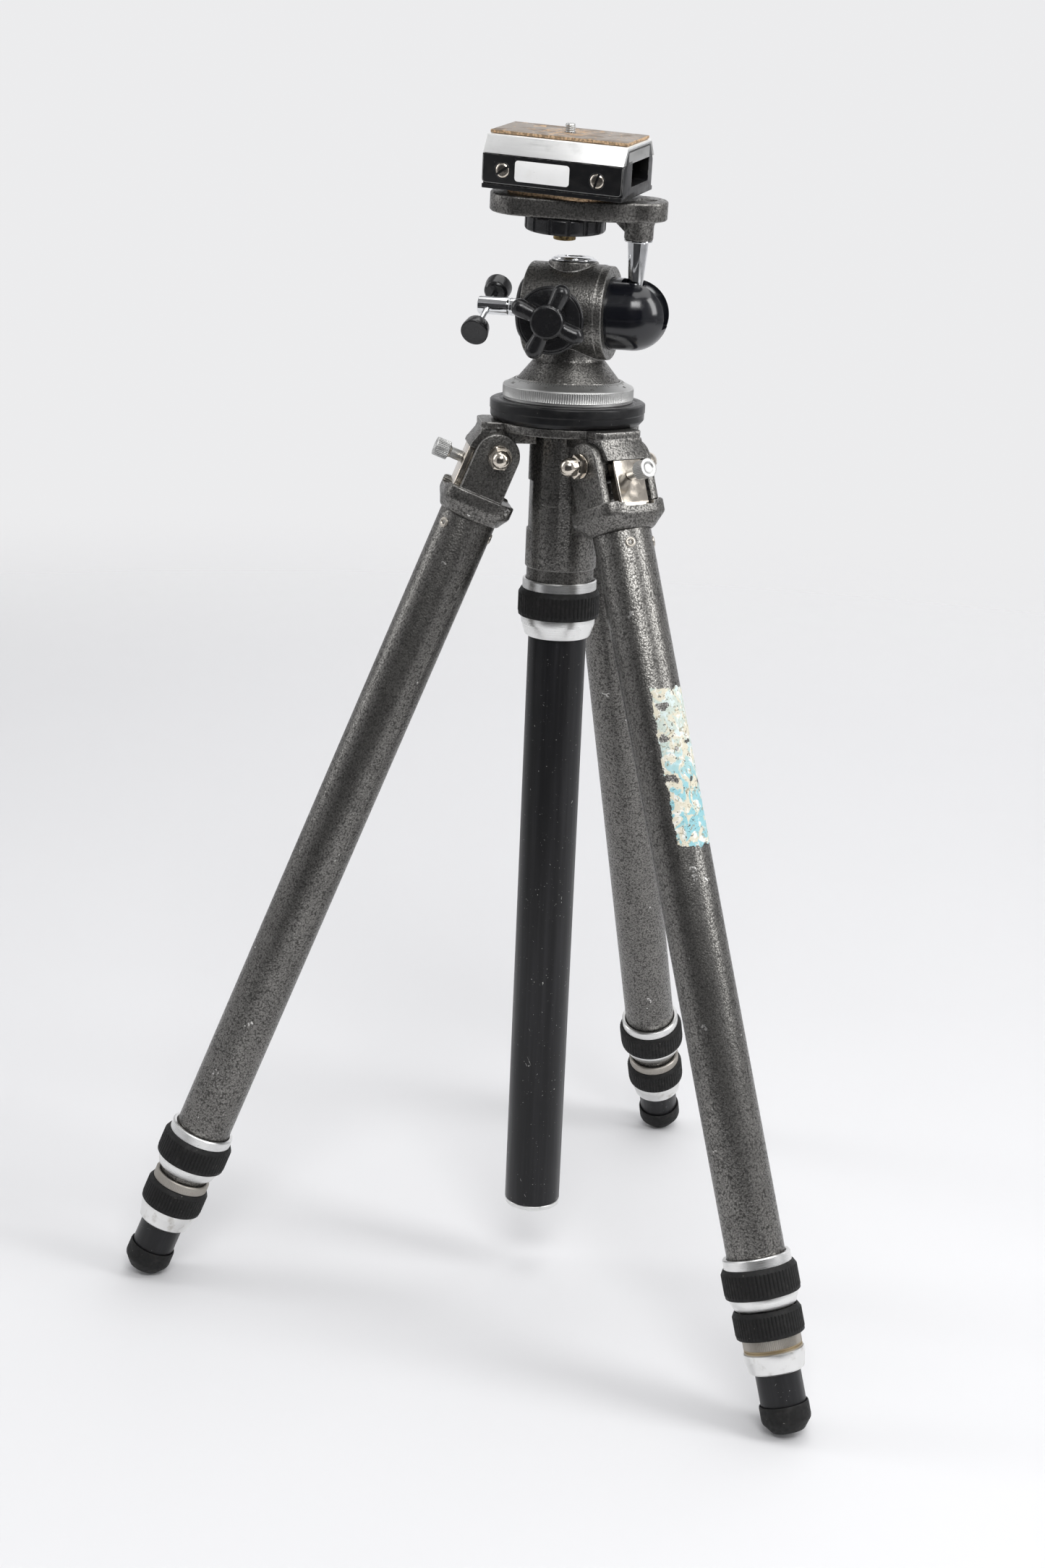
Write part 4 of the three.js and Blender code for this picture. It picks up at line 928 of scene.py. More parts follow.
CHANNEL_FLOOR, CHANNEL_STEP, CHANNEL_ROOF = 6.8, 22, 27.4
CAMERA_SCREW_R, CAMERA_SCREW_RISE, CAMERA_SCREW_HEAD_R, CAMERA_SCREW_HEAD = 3.175, 5.2, 8, 3
THREAD_PITCH, THREAD_DEPTH = 1.27, 0.55
COVER_SCREW_R, COVER_SCREW_RISE, COVER_SCREWS = 4.3, 1.0, ((-31, 83.5), (28.3, 83.2))
LABEL_X, LABEL_Z, LABEL_CORNER, LABEL_THICK = (-23.2, 11), (78, 90.2), 2, 0.2

# ---------------------------------------------------------------- legs


def square_collar(steps=FINE):
    """A round collar drawn out to a rounded square above its crest."""
    profile = rounded([
        (0, -COLLAR_BOTTOM),
        (UPPER_R + FOOT_WALL, -COLLAR_BOTTOM),
        (COLLAR_HALF, -COLLAR_CREST),
        (COLLAR_HALF, -COLLAR_TOP),
        (0, -COLLAR_TOP),
    ], 1.4, 3, closed=False)
    corners, faces = turned(profile, steps)
    drawn = []
    for x, y, z in corners:
        t = min(1.0, max(0.0, (-z - COLLAR_CREST) / (COLLAR_BOTTOM - COLLAR_CREST)))
        power = COLLAR_SQUARENESS + (2 - COLLAR_SQUARENESS) * t
        angle = math.atan2(y, x)
        scale = (abs(math.cos(angle)) ** power + abs(math.sin(angle)) ** power) ** (-1 / power)
        drawn.append((x * scale, y * scale * (COLLAR_WIDEN + (1 - COLLAR_WIDEN) * t), z))
    return drawn, faces


def ear_outline():
    points = [(EAR_SHIFT - EAR_R, -COLLAR_TOP - 1), (EAR_SHIFT + EAR_R, -COLLAR_TOP - 1)]
    for step in range(25):
        angle = math.pi * step / 24
        points.append((EAR_SHIFT + EAR_R * math.cos(angle), EAR_R * math.sin(angle)))
    return points


def yoke_casting():
    ears = [aimed(slab(ear_outline(), -high, -low, 0.9), ALONG_Y)
            for low, high in ((-EAR_OUTER, -EAR_INNER), (EAR_INNER, EAR_OUTER))]
    reach = HINGE_RADIUS
    window = aimed(slab(oblong((-EAR_INNER, EAR_INNER), (-WINDOW_FLOOR, 20), 2.5), -reach, reach), ALONG_X)
    recess_x = LATCH_FACE - LATCH_THICK - GAP
    recess = aimed(
        slab(oblong((-LATCH_HALF - GAP, LATCH_HALF + GAP), (-LATCH_BOTTOM - GAP, 9), 1.2), recess_x, reach),
        ALONG_X,
    )
    piece = joined(square_collar(), *ears)
    return carved(
        piece, window, recess,
        rod(UPPER_R + GAP, -COLLAR_BOTTOM - 1, -UPPER_TOP + 0.3),
        aimed(rod(PIN_R + GAP, -EAR_OUTER - 1, EAR_OUTER + 1), ALONG_Y),
    )


def hinge_bolt():
    """A pin with a washer, a hexagon and a domed nut at both ends."""
    form = rod(PIN_R, -EAR_OUTER, EAR_OUTER, steps=SMALL)
    face = EAR_OUTER + GAP
    hexagon_end = face + DOME_NUT_LENGTH * 0.42
    dome_r = DOME_NUT_R * 0.78
    tip = face + DOME_NUT_LENGTH
    dome = [(0, face + 1), (dome_r, face + 1), (dome_r, tip - dome_r)]
    for step in range(1, 9):
        angle = math.pi / 2 * step / 8
        dome.append((dome_r * math.cos(angle) if step < 8 else 0, tip - dome_r + dome_r * math.sin(angle)))
    hexagon = [
        (0, face + 0.9), (DOME_NUT_R, face + 0.9), (DOME_NUT_R, hexagon_end - 0.8),
        (dome_r + 0.2, hexagon_end), (0, hexagon_end),
    ]
    washer = rounded([(0, face), (DOME_NUT_R, face), (DOME_NUT_R, face + 1), (0, face + 1)], 0.3, 2, False)
    piece = rough_cut(aimed(form, ALONG_Y))
    for turn in (ALONG_Y, ALONG_Y @ Matrix.Rotation(math.pi, 4, "X")):
        piece = joined(
            piece, aimed(turned(washer, SMALL), turn), aimed(turned(hexagon, 6), spin(0.26), turn),
            aimed(turned(dome, 48), turn),
        )
    return piece


def latch_plate():
    """A bent plate: a flat front with a flange down each side."""
    inside = LATCH_FACE - LATCH_THICK
    back = inside - LATCH_FLANGE
    section = [
        (back, -LATCH_HALF), (LATCH_FACE, -LATCH_HALF), (LATCH_FACE, LATCH_HALF), (back, LATCH_HALF),
        (back, LATCH_HALF - LATCH_THICK), (inside, LATCH_HALF - LATCH_THICK),
        (inside, -LATCH_HALF + LATCH_THICK), (back, -LATCH_HALF + LATCH_THICK),
    ]
    bent = slab(rounded(section, 1.6, 4, only=(1, 2)), -WINDOW_FLOOR + GAP, -LATCH_TOP, 0.25)
    tongue = box(
        (inside, LATCH_FACE), (-LATCH_HALF + 0.8, LATCH_HALF - 0.8), (-LATCH_BOTTOM, -WINDOW_FLOOR + 1), 0.25
    )
    return joined(bent, tongue)


def pull_knob(shape):
    start = LATCH_FACE + GAP
    shoulder = start + PULL_STEM
    end = shoulder + PULL_HEAD
    profile = rounded([
        (0, start), (PULL_STEM_R, start), (PULL_STEM_R, shoulder - 1.2), (PULL_STEM_R + 1, shoulder),
        (PULL_HEAD_R, shoulder), (PULL_HEAD_R, shoulder + 1.2), (PULL_HEAD_R, end - 1.2),
        (PULL_HEAD_R, end), (PULL_HEAD_R - 2.2, end), (PULL_HEAD_R - 3, end - 0.9), (0, end - 0.9),
    ], 0.45, 2, closed=False)
    knurl = ribs(34, shape.knurl_depth * 1.2, shoulder + 1.1, end - 1.1, 0.3)
    return aimed(turned(profile, 34 * 6, knurl), TO_X, shift(z=-PULL_DROP))


def lock_nut(top, length, upper, lower, wall, tail, step, knurled, shape):
    """A lock nut: bright ring, seat for the grip, and a bright taper at its lower end."""
    bottom = top - length
    crest = upper + wall
    under = crest - GRIP_SEAT
    profile = [
        (lower, bottom), (lower + wall * 0.75, bottom), (lower + wall + 0.3, bottom + 0.8),
        (crest - 0.25, bottom + tail * 0.62), (crest, bottom + tail * 0.62 + 0.5), (crest, bottom + tail),
        (under, bottom + tail), (under, bottom + tail + 1.6), (under - 0.35, bottom + tail + 1.7),
        (under - 0.35, bottom + tail + 2.6), (under, bottom + tail + 2.7), (under, top - NUT_RING),
        (crest, top - NUT_RING), (crest, top - 0.7), (crest - 0.7, top), (upper + 0.5, top),
        (upper, top - 0.5), (upper, step), (lower, step),
    ]
    if not knurled:
        return turned(profile, FINE)
    rule = ribs(96, shape.knurl_depth, bottom + tail + 2.65, top - NUT_RING, 0.2)
    return turned(profile, 96 * 4, rule)


def lock_grip(top, length, upper, wall, tail, thick, creep, shape):
    """A ribbed rubber sleeve with a smooth chamfered band at its top."""
    inner = upper + wall - (0 if creep else GRIP_SEAT) + GAP
    outer = inner + thick
    low = top - length + tail + GAP + creep
    high = top - NUT_RING - GAP + creep
    profile = [
        (inner, low), (outer - 0.9, low), (outer - 0.35, low + 0.5), (outer - 0.3, low + 2.0),
        (outer, low + 2.5), (outer, low + 3.0), (outer, high - 3.4), (outer, high - 2.9),
        (outer - 0.25, high - 2.5), (outer - 1.5, high - 0.3), (outer - 1.9, high), (inner, high),
    ]
    rule = ribs(shape.grip_ribs, shape.grip_rib_depth, low + 2.4, high - 2.8, 0.45)
    return turned(profile, shape.grip_ribs * 8, rule)


def tube(radius, top, length, wall=TUBE_WALL):
    return ring(radius - wall, radius, -top - length, -top, 0.3)


def foot_tip():
    """A rubber cap with a raised rim, two grooves and a ribbed underside."""
    outer = LOWER_R + FOOT_WALL
    low = -FOOT_TOP - FOOT_RIM - FOOT_CONE
    waist = low + FOOT_CONE
    profile = rounded([
        (0, low + 1.2), (4, low + 1.2), (4, low), (6, low), (6, low + 1.2), (8, low + 1.2), (8, low),
        (FOOT_TIP_R, low), (outer - 0.6, waist - 1), (outer, waist + 0.6), (outer, -FOOT_TOP - 1.6),
        (outer - 0.2, -FOOT_TOP), (LOWER_R + GAP, -FOOT_TOP), (LOWER_R + GAP, -FOOT_TOP - FOOT_RIM),
        (0, -FOOT_TOP - FOOT_RIM),
    ], 0.7, 2, closed=False)
    return turned(profile, ROUND)


def rivet():
    """A hollow rivet with a rolled rim."""
    profile = rounded([
        (1.3, -1), (RIVET_R, -1), (RIVET_R, 0.35), (RIVET_R - 0.9, RIVET_RISE),
        (1.9, RIVET_RISE - 0.1), (1.3, 0.1),
    ], 0.25, 2)
    return turned(profile, 40)


def rivet_place(degrees):
    """A place on the upper tube, with Z out of the tube."""
    angle = math.radians(degrees)
    out = Vector((math.cos(angle), math.sin(angle), 0))
    return seat(Vector((out.x * UPPER_R, out.y * UPPER_R, -RIVET_DROP)), UP, out)


# ---------------------------------------------------------------- spider and column


def beside_leg(outward, down):
    """A point beside a splayed leg, as distances out from the pin and up."""
    return (
        outward * math.cos(SPLAY) + down * math.sin(SPLAY),
        outward * math.sin(SPLAY) - down * math.cos(SPLAY),
    )


def lug_forms():
    inner = SLEEVE_R - HINGE_RADIUS - 2
    nose_out, nose_low = LATCH_FACE + GRIP_SEAT, LATCH_TOP - GAP
    tip = SHELF_R - HINGE_RADIUS
    start = beside_leg(LUG_R, nose_low)
    first = math.atan2(start[1], start[0])
    last = -math.pi - math.asin(LUG_ROOT / LUG_R)
    arc = [first + (last - first) * step / 28 for step in range(29)]
    nose = [
        (inner, SPIDER_TOP - SHELF_THICK), (tip - GAP, SPIDER_TOP - SHELF_THICK),
        beside_leg(LATCH_FACE - LATCH_THICK, -9), beside_leg(nose_out, -1), beside_leg(nose_out, nose_low),
    ]
    outline = nose + [(LUG_R * math.cos(a), LUG_R * math.sin(a)) for a in arc] + [(inner, LUG_ROOT)]
    outline.reverse()
    half = EAR_INNER - GAP
    web = aimed(slab(outline, -half, half, 0.6), ALONG_Y, shift(HINGE_RADIUS))
    shelf = [
        (inner, -SHELF_HALF), (tip - 3.5, -SHELF_HALF), (tip, -SHELF_HALF + 3.5),
        (tip, SHELF_HALF - 3.5), (tip - 3.5, SHELF_HALF), (inner, SHELF_HALF),
    ]
    top = slab(shelf, SPIDER_TOP - SHELF_THICK - GAP, SPIDER_TOP, 0.7)
    return web, aimed(top, shift(HINGE_RADIUS))


def spider_casting():
    body = turned(rounded([
        (0, SLEEVE_BOTTOM - NECK_SHOWN - NECK_HIDDEN), (NECK_R, SLEEVE_BOTTOM - NECK_SHOWN - NECK_HIDDEN),
        (NECK_R, SLEEVE_BOTTOM - 1), (NECK_R, SLEEVE_BOTTOM), (SLEEVE_R, SLEEVE_BOTTOM),
        (SLEEVE_R, SPIDER_TOP - SPIDER_PLATE), (SPIDER_R, SPIDER_TOP - SPIDER_PLATE),
        (SPIDER_R, SPIDER_TOP), (0, SPIDER_TOP),
    ], 0.8, 2, closed=False, only=(4, 5, 6, 7)), FINE)
    forms, tools = [], [rod(COLUMN_R + GAP, -120, SPIDER_TOP + 1, steps=FINE)]
    for side in SIDES:
        place = pin(f"{side}_leg_fold")
        azimuth = math.atan2(place.y, place.x)
        forms += [aimed(form, spin(azimuth)) for form in lug_forms()]
        flat = box((SLEEVE_FLAT, HINGE_RADIUS), (-SLEEVE_R, SLEEVE_R),
                   (-COLLAR_BOTTOM - 4, SLEEVE_FLAT_TOP))
        bore = aimed(rod(PIN_R + GAP, -EAR_OUTER, EAR_OUTER), ALONG_Y, shift(HINGE_RADIUS))
        panel = aimed(
            slab(
                oblong((-7.6, 7.6), (-30, SPIDER_TOP - SPIDER_PLATE), 4.5), SLEEVE_R - 0.75, SLEEVE_R + 6, 0.0
            ),
            ALONG_X, spin(math.pi),
        )
        tools += [aimed(flat, spin(azimuth)), aimed(bore, spin(azimuth)), aimed(panel, spin(azimuth))]
    return carved(joined(body, *forms), *tools)


def platform_disc():
    plug = COLUMN_R - COLUMN_WALL - GAP
    middle_z = (PLATFORM_BOTTOM + PLATFORM_TOP) / 2
    return turned(rounded([
        (0, PLATFORM_BOTTOM - PLUG), (plug, PLATFORM_BOTTOM - PLUG), (plug, PLATFORM_BOTTOM),
        (PLATFORM_R - PLATFORM_CHAMFER, PLATFORM_BOTTOM),
        (PLATFORM_R - 0.4, PLATFORM_BOTTOM + PLATFORM_CHAMFER),
        (PLATFORM_R - 0.4, middle_z), (PLATFORM_R, middle_z + 0.4), (PLATFORM_R, PLATFORM_TOP - 1),
        (PLATFORM_R - 1.6, PLATFORM_TOP), (PAN_R + 2.6, PLATFORM_TOP), (PAN_R + 2.2, PLATFORM_TOP - 0.5),
        (PAN_R + 1.4, PLATFORM_TOP - 0.5), (PAN_R + 1.0, PLATFORM_TOP), (0, PLATFORM_TOP),
    ], 0.4, 2, closed=False), 128)


# ---------------------------------------------------------------- head


def pan_profile():
    inner, bottom = BASE_R + GAP, GAP - AXIS_RISE
    rim = bottom + PAN_RIM
    return [
        (inner, bottom), (PAN_R - 0.5, bottom), (PAN_R - 0.5, bottom + 1.4), (PAN_R, bottom + 1.7),
        (PAN_R, bottom + 1.9), (PAN_R, rim - 1.1), (PAN_R, rim - 0.8), (PAN_R - 0.5, rim),
        (PAN_R - 1.2, rim + 0.25), (inner + 0.5, rim + PAN_BEVEL - 0.1), (inner, rim + PAN_BEVEL - 0.4),
    ]


def pan_ring(shape):
    bottom = GAP - AXIS_RISE
    rule = ribs(shape.knurl_teeth, shape.knurl_depth, bottom + 1.8, bottom + PAN_RIM - 0.9, 0.1)
    return turned(pan_profile(), shape.knurl_teeth * 4, rule)


def pan_slope():
    """The scale face of the pan ring: its outer end, and its direction inwards."""
    rim = GAP - AXIS_RISE + PAN_RIM
    start = Vector((PAN_R - 1.2, rim + 0.25))
    end = Vector((BASE_R + GAP + 0.5, rim + PAN_BEVEL - 0.1))
    return start, (end - start).normalized(), (end - start).length


def scale_marks(step):
    """Thin raised strips on the scale face, longer at every fifth."""
    start, along, length = pan_slope()
    up = Vector((-along.y, along.x)) * -1
    forms = []
    for number in range(360 // step):
        long = number % 5 == 0
        near, far = length - (3.1 if long else 1.9), length - 0.5
        rows = []
        for distance in (near, far):
            for rise in (-0.05, 0.06):
                rows.append(start + along * distance + up * rise)
        half = 0.17
        corners = [(p.x, y, p.y) for p in rows for y in (-half, half)]
        faces = [(0, 1, 3, 2), (4, 6, 7, 5), (0, 4, 5, 1), (2, 3, 7, 6), (0, 2, 6, 4), (1, 5, 7, 3)]
        forms.append(aimed((corners, faces), spin(math.radians(number * step))))
    return gathered(forms)


def gathered(forms):
    """Several loose forms as one."""
    corners, faces = [], []
    for more_corners, more_faces in forms:
        offset = len(corners)
        corners += more_corners
        faces += [tuple(offset + index for index in face) for face in more_faces]
    return corners, faces


def numeral(text, size):
    """A number as a thin flat form, centred on its own middle."""
    curve = bpy.data.curves.new("numeral", "FONT")
    curve.body = text
    curve.size = size
    curve.extrude = 0.05
    curve.resolution_u = 3
    curve.align_x = "CENTER"
    curve.align_y = "CENTER"
    loose = bpy.data.objects.new("numeral", curve)
    bpy.context.scene.collection.objects.link(loose)
    bpy.context.view_layer.update()
    mesh = bpy.data.meshes.new_from_object(loose.evaluated_get(bpy.context.evaluated_depsgraph_get()))
    form = [tuple(v.co) for v in mesh.vertices], [tuple(p.vertices) for p in mesh.polygons]
    bpy.data.objects.remove(loose)
    bpy.data.curves.remove(curve)
    bpy.data.meshes.remove(mesh)
    return form


def scale_numbers():
    start, along, length = pan_slope()
    forms = []
    for degrees in range(0, 360, 45):
        spot = start + along * (length - 5.2)
        tip = Vector((along.x, 0, along.y))
        out = Vector((-along.y, 0, along.x)) * -1
        place = Matrix((tip.cross(out), tip, out)).transposed().to_4x4()
        place.translation = Vector((spot.x, 0, spot.y)) + out * 0.02
        forms.append(aimed(numeral(str(degrees), 2.9), place, spin(math.radians(degrees - 97))))
    return gathered(forms)


def head_casting():
    bottom = GAP - AXIS_RISE
    foot = bottom + PAN_RIM + PAN_BEVEL
    cone = turned(rounded([
        (0, bottom), (BASE_R, bottom), (BASE_R, foot), (BASE_R - 0.6, foot + 0.7),
        (CONE_TOP_R + 0.6, foot + CONE_RISE), (CONE_TOP_R - 0.6, foot + CONE_RISE + 5),
        (CONE_TOP_R - 0.6, 0), (0, 0),
    ], 1.0, 3, closed=False), FINE)
    drum = turned(rounded([
        (0, -HOUSING_HALF), (HOUSING_R - 0.5, -HOUSING_HALF), (HOUSING_R, -HOUSING_HALF + 0.6),
        (HOUSING_R, HOUSING_HALF - 5.2), (HOUSING_R - 0.5, HOUSING_HALF - 4.7),
        (HOUSING_R - 0.5, HOUSING_HALF), (0, HOUSING_HALF),
    ], 0.9, 3, closed=False), 128)
    boss = turned(
        rounded([(0, 0), (BOSS_R, 0), (BOSS_R, BOSS_TOP), (0, BOSS_TOP)], 1.1, 3, closed=False), ROUND
    )
    reach = HOUSING_HALF + 1
    star = aimed(rod(STAR_SHAFT_R + GAP, 0, HOUSING_R + STAR_STAND), star_turn())
    return carved(
        joined(cone, aimed(drum, TO_X), boss),
        aimed(rod(BARREL_R + GAP, -reach, reach, steps=FINE), TO_X), star,
    )


def star_turn():
    """Where the clamp screw stands, in the head's own directions."""
    out = HEAD.to_3x3().inverted() @ STAR_LINE
    return seat(Vector((STAR_SHIFT, 0, -STAR_DROP)), UP.cross(out), out)


def level_ring():
    low = BOSS_TOP + GAP
    high = low + LEVEL_THICK
    return turned(rounded([
        (0, low), (LEVEL_R, low), (LEVEL_R, low + 1.0), (LEVEL_R - 1.2, low + 1.1),
        (LEVEL_R - 1.4, low + 1.9),
        (LEVEL_R - 3.4, high), (7.2, high), (6.6, high - 0.9), (0, high - 0.9),
    ], 0.3, 2, closed=False), FINE)


def star_form():
    back = HOUSING_R + STAR_STAND
    top = back + SKIRT_RIM + SKIRT_RISE
    hub = turned([
        (0, BARREL_R + STAR_STAND), (STAR_SHAFT_R, BARREL_R + STAR_STAND), (STAR_SHAFT_R, back),
        (HUB_R + 1.5, back),
        (HUB_R + 0.5, top - 2), (HUB_R, top), (HUB_R, HUB_FRONT - 1.3), (HUB_R - 1.3, HUB_FRONT),
        (0, HUB_FRONT),
    ], ROUND)
    arms = []
    for number in range(ARMS):
        length = ARM_REACH + ARM_R
        profile = [(0, 2), (ARM_R - 1.0, 3), (ARM_R - 0.7, ARM_REACH * 0.5), (ARM_R, ARM_REACH - 0.6)]
        for step in range(1, 9):
            angle = math.pi / 2 * step / 8
            profile.append(
                (ARM_R * math.cos(angle) if step < 8 else 0, ARM_REACH + ARM_R * math.sin(angle))
            )
        profile[-1] = (0, length)
        lie = Matrix.Rotation(-math.pi / 2, 4, "X")
        turn = ARM_TURN + number * 2 * math.pi / ARMS
        arms.append(aimed(turned(profile, SMALL), lie, spin(turn), shift(z=ARM_OUT)))
    return moulded(joined(hub, *arms), 0.55, 5)


def star_skirt():
    """The conical disc behind the arms, with a groove near its rim."""
    back = HOUSING_R + STAR_STAND
    rim = back + SKIRT_RIM
    return turned(rounded([
        (HUB_R - 1, back), (SKIRT_R, back), (SKIRT_R, rim - 0.6), (SKIRT_R - 1.4, rim + 0.35),
        (SKIRT_R - 1.8, rim - 0.1),
        (SKIRT_R - 2.4, rim + 0.3), (HUB_R + 1, rim + SKIRT_RISE - 1), (HUB_R - 1, rim + SKIRT_RISE - 1),
    ], 0.35, 2), FINE)


def barrel_form():
    left = -HOUSING_HALF
    profile = [(0, left), (BARREL_R - 0.4, left), (BARREL_R, left + 0.5), (BARREL_R, BARREL_REACH)]
    steps = 20
    for step in range(1, steps + 1):
        angle = math.pi / 2 * step / steps
        radius = BARREL_R * math.cos(angle) if step < steps else 0
        profile.append((radius, BARREL_REACH + BARREL_R * math.sin(angle)))
    body = aimed(turned(profile, 128), TO_X)
    cavity = aimed(rod(BALL_R + GAP, -SLOT_HALF, SLOT_HALF, steps=FINE), ALONG_Y, shift(BARREL_REACH))
    swing = STEM_TOP_R + GAP
    outline = rounded([
        (BARREL_REACH - swing, -swing), (BARREL_REACH + BARREL_R + 2, -swing),
        (BARREL_REACH + BARREL_R + 2, BARREL_R + 2), (BARREL_REACH - swing, BARREL_R + 2),
    ], 0)
    mouth = aimed(slab(outline, -SLOT_HALF, SLOT_HALF), ALONG_Y)
    return carved(body, cavity, mouth)


def end_cap():
    left = -HOUSING_HALF - GAP
    return aimed(turned(rounded([
        (0, left - END_CAP_THICK), (END_CAP_R - 4, left - END_CAP_THICK),
        (END_CAP_R - 3.6, left - END_CAP_THICK + 0.6),
        (END_CAP_R - 2, left - END_CAP_THICK + 0.6), (END_CAP_R, left - END_CAP_THICK + 2.4),
        (END_CAP_R, left), (0, left),
    ], 0.6, 2, closed=False), FINE), TO_X)


ROD_START = -HOUSING_HALF - END_CAP_THICK - 2 * GAP
CROSS_X = ROD_START - ROD_LENGTH + CROSS_FROM_END


def lock_rod():
    front, rear = CROSS_FRONT - CROSS_KNOB_LENGTH - GAP, CROSS_REAR - CROSS_KNOB_LENGTH - GAP
    bar = aimed(rod(CROSS_R, -front, rear, steps=SMALL), shift(CROSS_X))
    end = ROD_START - ROD_LENGTH
    shaft = turned(rounded([
        (0, end), (ROD_R, end), (ROD_R, ROD_START - 8), (ROD_R - 0.5, ROD_START - 7.6),
        (ROD_R - 0.5, ROD_START - 6.9),
        (ROD_R, ROD_START - 6.5), (ROD_R, ROD_START), (0, ROD_START),
    ], 0.6, 3, closed=False), ROUND)
    return joined(aimed(shaft, TO_X), bar)


def cross_knob(reach):
    inner = reach - CROSS_KNOB_LENGTH
    return turned(rounded([
        (0, inner), (CROSS_KNOB_R - 2.4, inner), (CROSS_KNOB_R - 0.9, inner + 1.6),
        (CROSS_KNOB_R, reach - 2.2),
        (CROSS_KNOB_R, reach - 0.2), (CROSS_KNOB_R - 0.9, reach),
        (CROSS_KNOB_R - 2.6, reach - 0.25), (0, reach - 0.35),
    ], 0.5, 3, closed=False), ROUND)


# ---------------------------------------------------------------- stem and camera plate


def stem_form():
    ball = turned([(BALL_R * math.cos(a) if abs(math.cos(a)) > 1e-6 else 0, BALL_R * math.sin(a))
                   for a in (math.pi * (step / 32 - 0.5) for step in range(33))], ROUND)
    half = SLOT_HALF - GAP
    cheeks = box((-BALL_R - 1, BALL_R + 1), (-half, half), (-BALL_R - 1, BALL_R + 1))
    pivot = worked(ball, [cheeks], "INTERSECT")
    high = PLATE_UNDER - PLATE_BOSS - GAP
    post = turned(rounded([
        (0, 0), (STEM_R, 0), (STEM_R, BARREL_R), (STEM_TOP_R, high), (0, high),
    ], 0.4, 2, closed=False), ROUND)
    return joined(pivot, post)


def plate_outline():
    left, side = PLATE_LEFT + PLATE_CORNER, PLATE_HALF - PLATE_CORNER

    def bend(start, corner, end, count=8):
        points = [(Vector(start), Vector(corner), Vector(end), step / count) for step in range(count + 1)]
        return [tuple(a * (1 - t) ** 2 + b * 2 * t * (1 - t) + c * t * t) for a, b, c, t in points]

    def arc(x, y, radius, first, last, count=14):
        turns = [first + (last - first) * step / count for step in range(count + 1)]
        return [(x + radius * math.cos(a), y + radius * math.sin(a)) for a in turns]

    half, waist = PLATE_HALF, PLATE_WAIST
    points = [(left, -half)]
    points += bend((waist - PLATE_CORNER, -half), (waist, -half), (0, -EAR_END_R))
    points += arc(PLATE_RIGHT - EAR_END_R, 0, EAR_END_R, -math.pi / 2, math.pi / 2)
    points += bend((0, EAR_END_R), (waist, half), (waist - PLATE_CORNER, half))
    points += arc(left, side, PLATE_CORNER, math.pi / 2, math.pi)
    points += arc(left, -side, PLATE_CORNER, math.pi, 3 * math.pi / 2)[:-1]
    return points


def plate_casting():
    plate = slab(plate_outline(), PLATE_UNDER, PLATE_TOP, 1.3, 3)
    low = PLATE_UNDER - PLATE_BOSS + 1.1
    boss = turned(rounded([
        (0, low), (PLATE_BOSS_R, low), (PLATE_BOSS_R, PLATE_UNDER - 4), (PLATE_BOSS_FLARE, PLATE_UNDER + 1),
        (0, PLATE_UNDER + 1),
    ], 0.9, 3, closed=False), ROUND)
    high, mid = PLATE_UNDER + 1, PLATE_UNDER - PLATE_BOSS / 2 - 2
    rib_outline = [(0, mid), (0, high), (SCREW_X + WHEEL_R + 2, high), (-PLATE_BOSS_R + 1, mid)]
    rib = aimed(slab(rib_outline, -PLATE_BOSS_R / 3, PLATE_BOSS_R / 3, 0.6), ALONG_Y)
    recess = aimed(
        slab(oblong((-6, 5.5), (-4, 4), 1.0), PLATE_TOP - 1.1, PLATE_TOP + 2), shift(4), spin(-0.12)
    )
    bore = aimed(rod(SCREW_R + GAP, PLATE_UNDER - 1, PLATE_TOP + 1), shift(SCREW_X))
    return carved(joined(plate, boss, rib), bore, recess)


def wheel_form():
    high = PLATE_UNDER - GAP
    low = high - WHEEL_THICK
    profile = rounded([
        (SCREW_R + GAP, low + 1), (12, low + 1), (13, low), (WHEEL_R - 0.6, low), (WHEEL_R, low + 1.2),
        (WHEEL_R, high - 1), (WHEEL_R - 1, high), (SCREW_R + GAP, high),
    ], 0.5, 2)
    wheel = turned(profile, FINE)
    notches = []
    for number in range(WHEEL_NOTCHES):
        notch = rod(NOTCH_R, low - 1, high + 1, steps=20)
        notches.append(
            aimed(notch, shift(WHEEL_R + NOTCH_R / 2), spin(number * 2 * math.pi / WHEEL_NOTCHES))
        )
    return carved(wheel, *notches)


def plate_screw_form():
    top = PLATE_UNDER - WHEEL_THICK - 2 * GAP
    low = top - SCREW_HEAD
    profile = rounded([
        (0, low), (SCREW_HEAD_R, low), (SCREW_HEAD_R, low + 0.7), (SCREW_HEAD_R, top - 0.7),
        (SCREW_HEAD_R, top),
        (SCREW_R, top), (SCREW_R, BLOCK_BOTTOM + SCREW_BITE), (0, BLOCK_BOTTOM + SCREW_BITE),
    ], 0.3, 2, closed=False)
    return turned(profile, 36 * 6, ribs(36, 0.35, low + 0.5, top - 0.5, 0.1))


# ---------------------------------------------------------------- adapter block

HOOD_LOW = BLOCK_TOP - BEVEL_DOWN
BODY_DEEP = BLOCK_DEEP - COVER_THICK - GAP


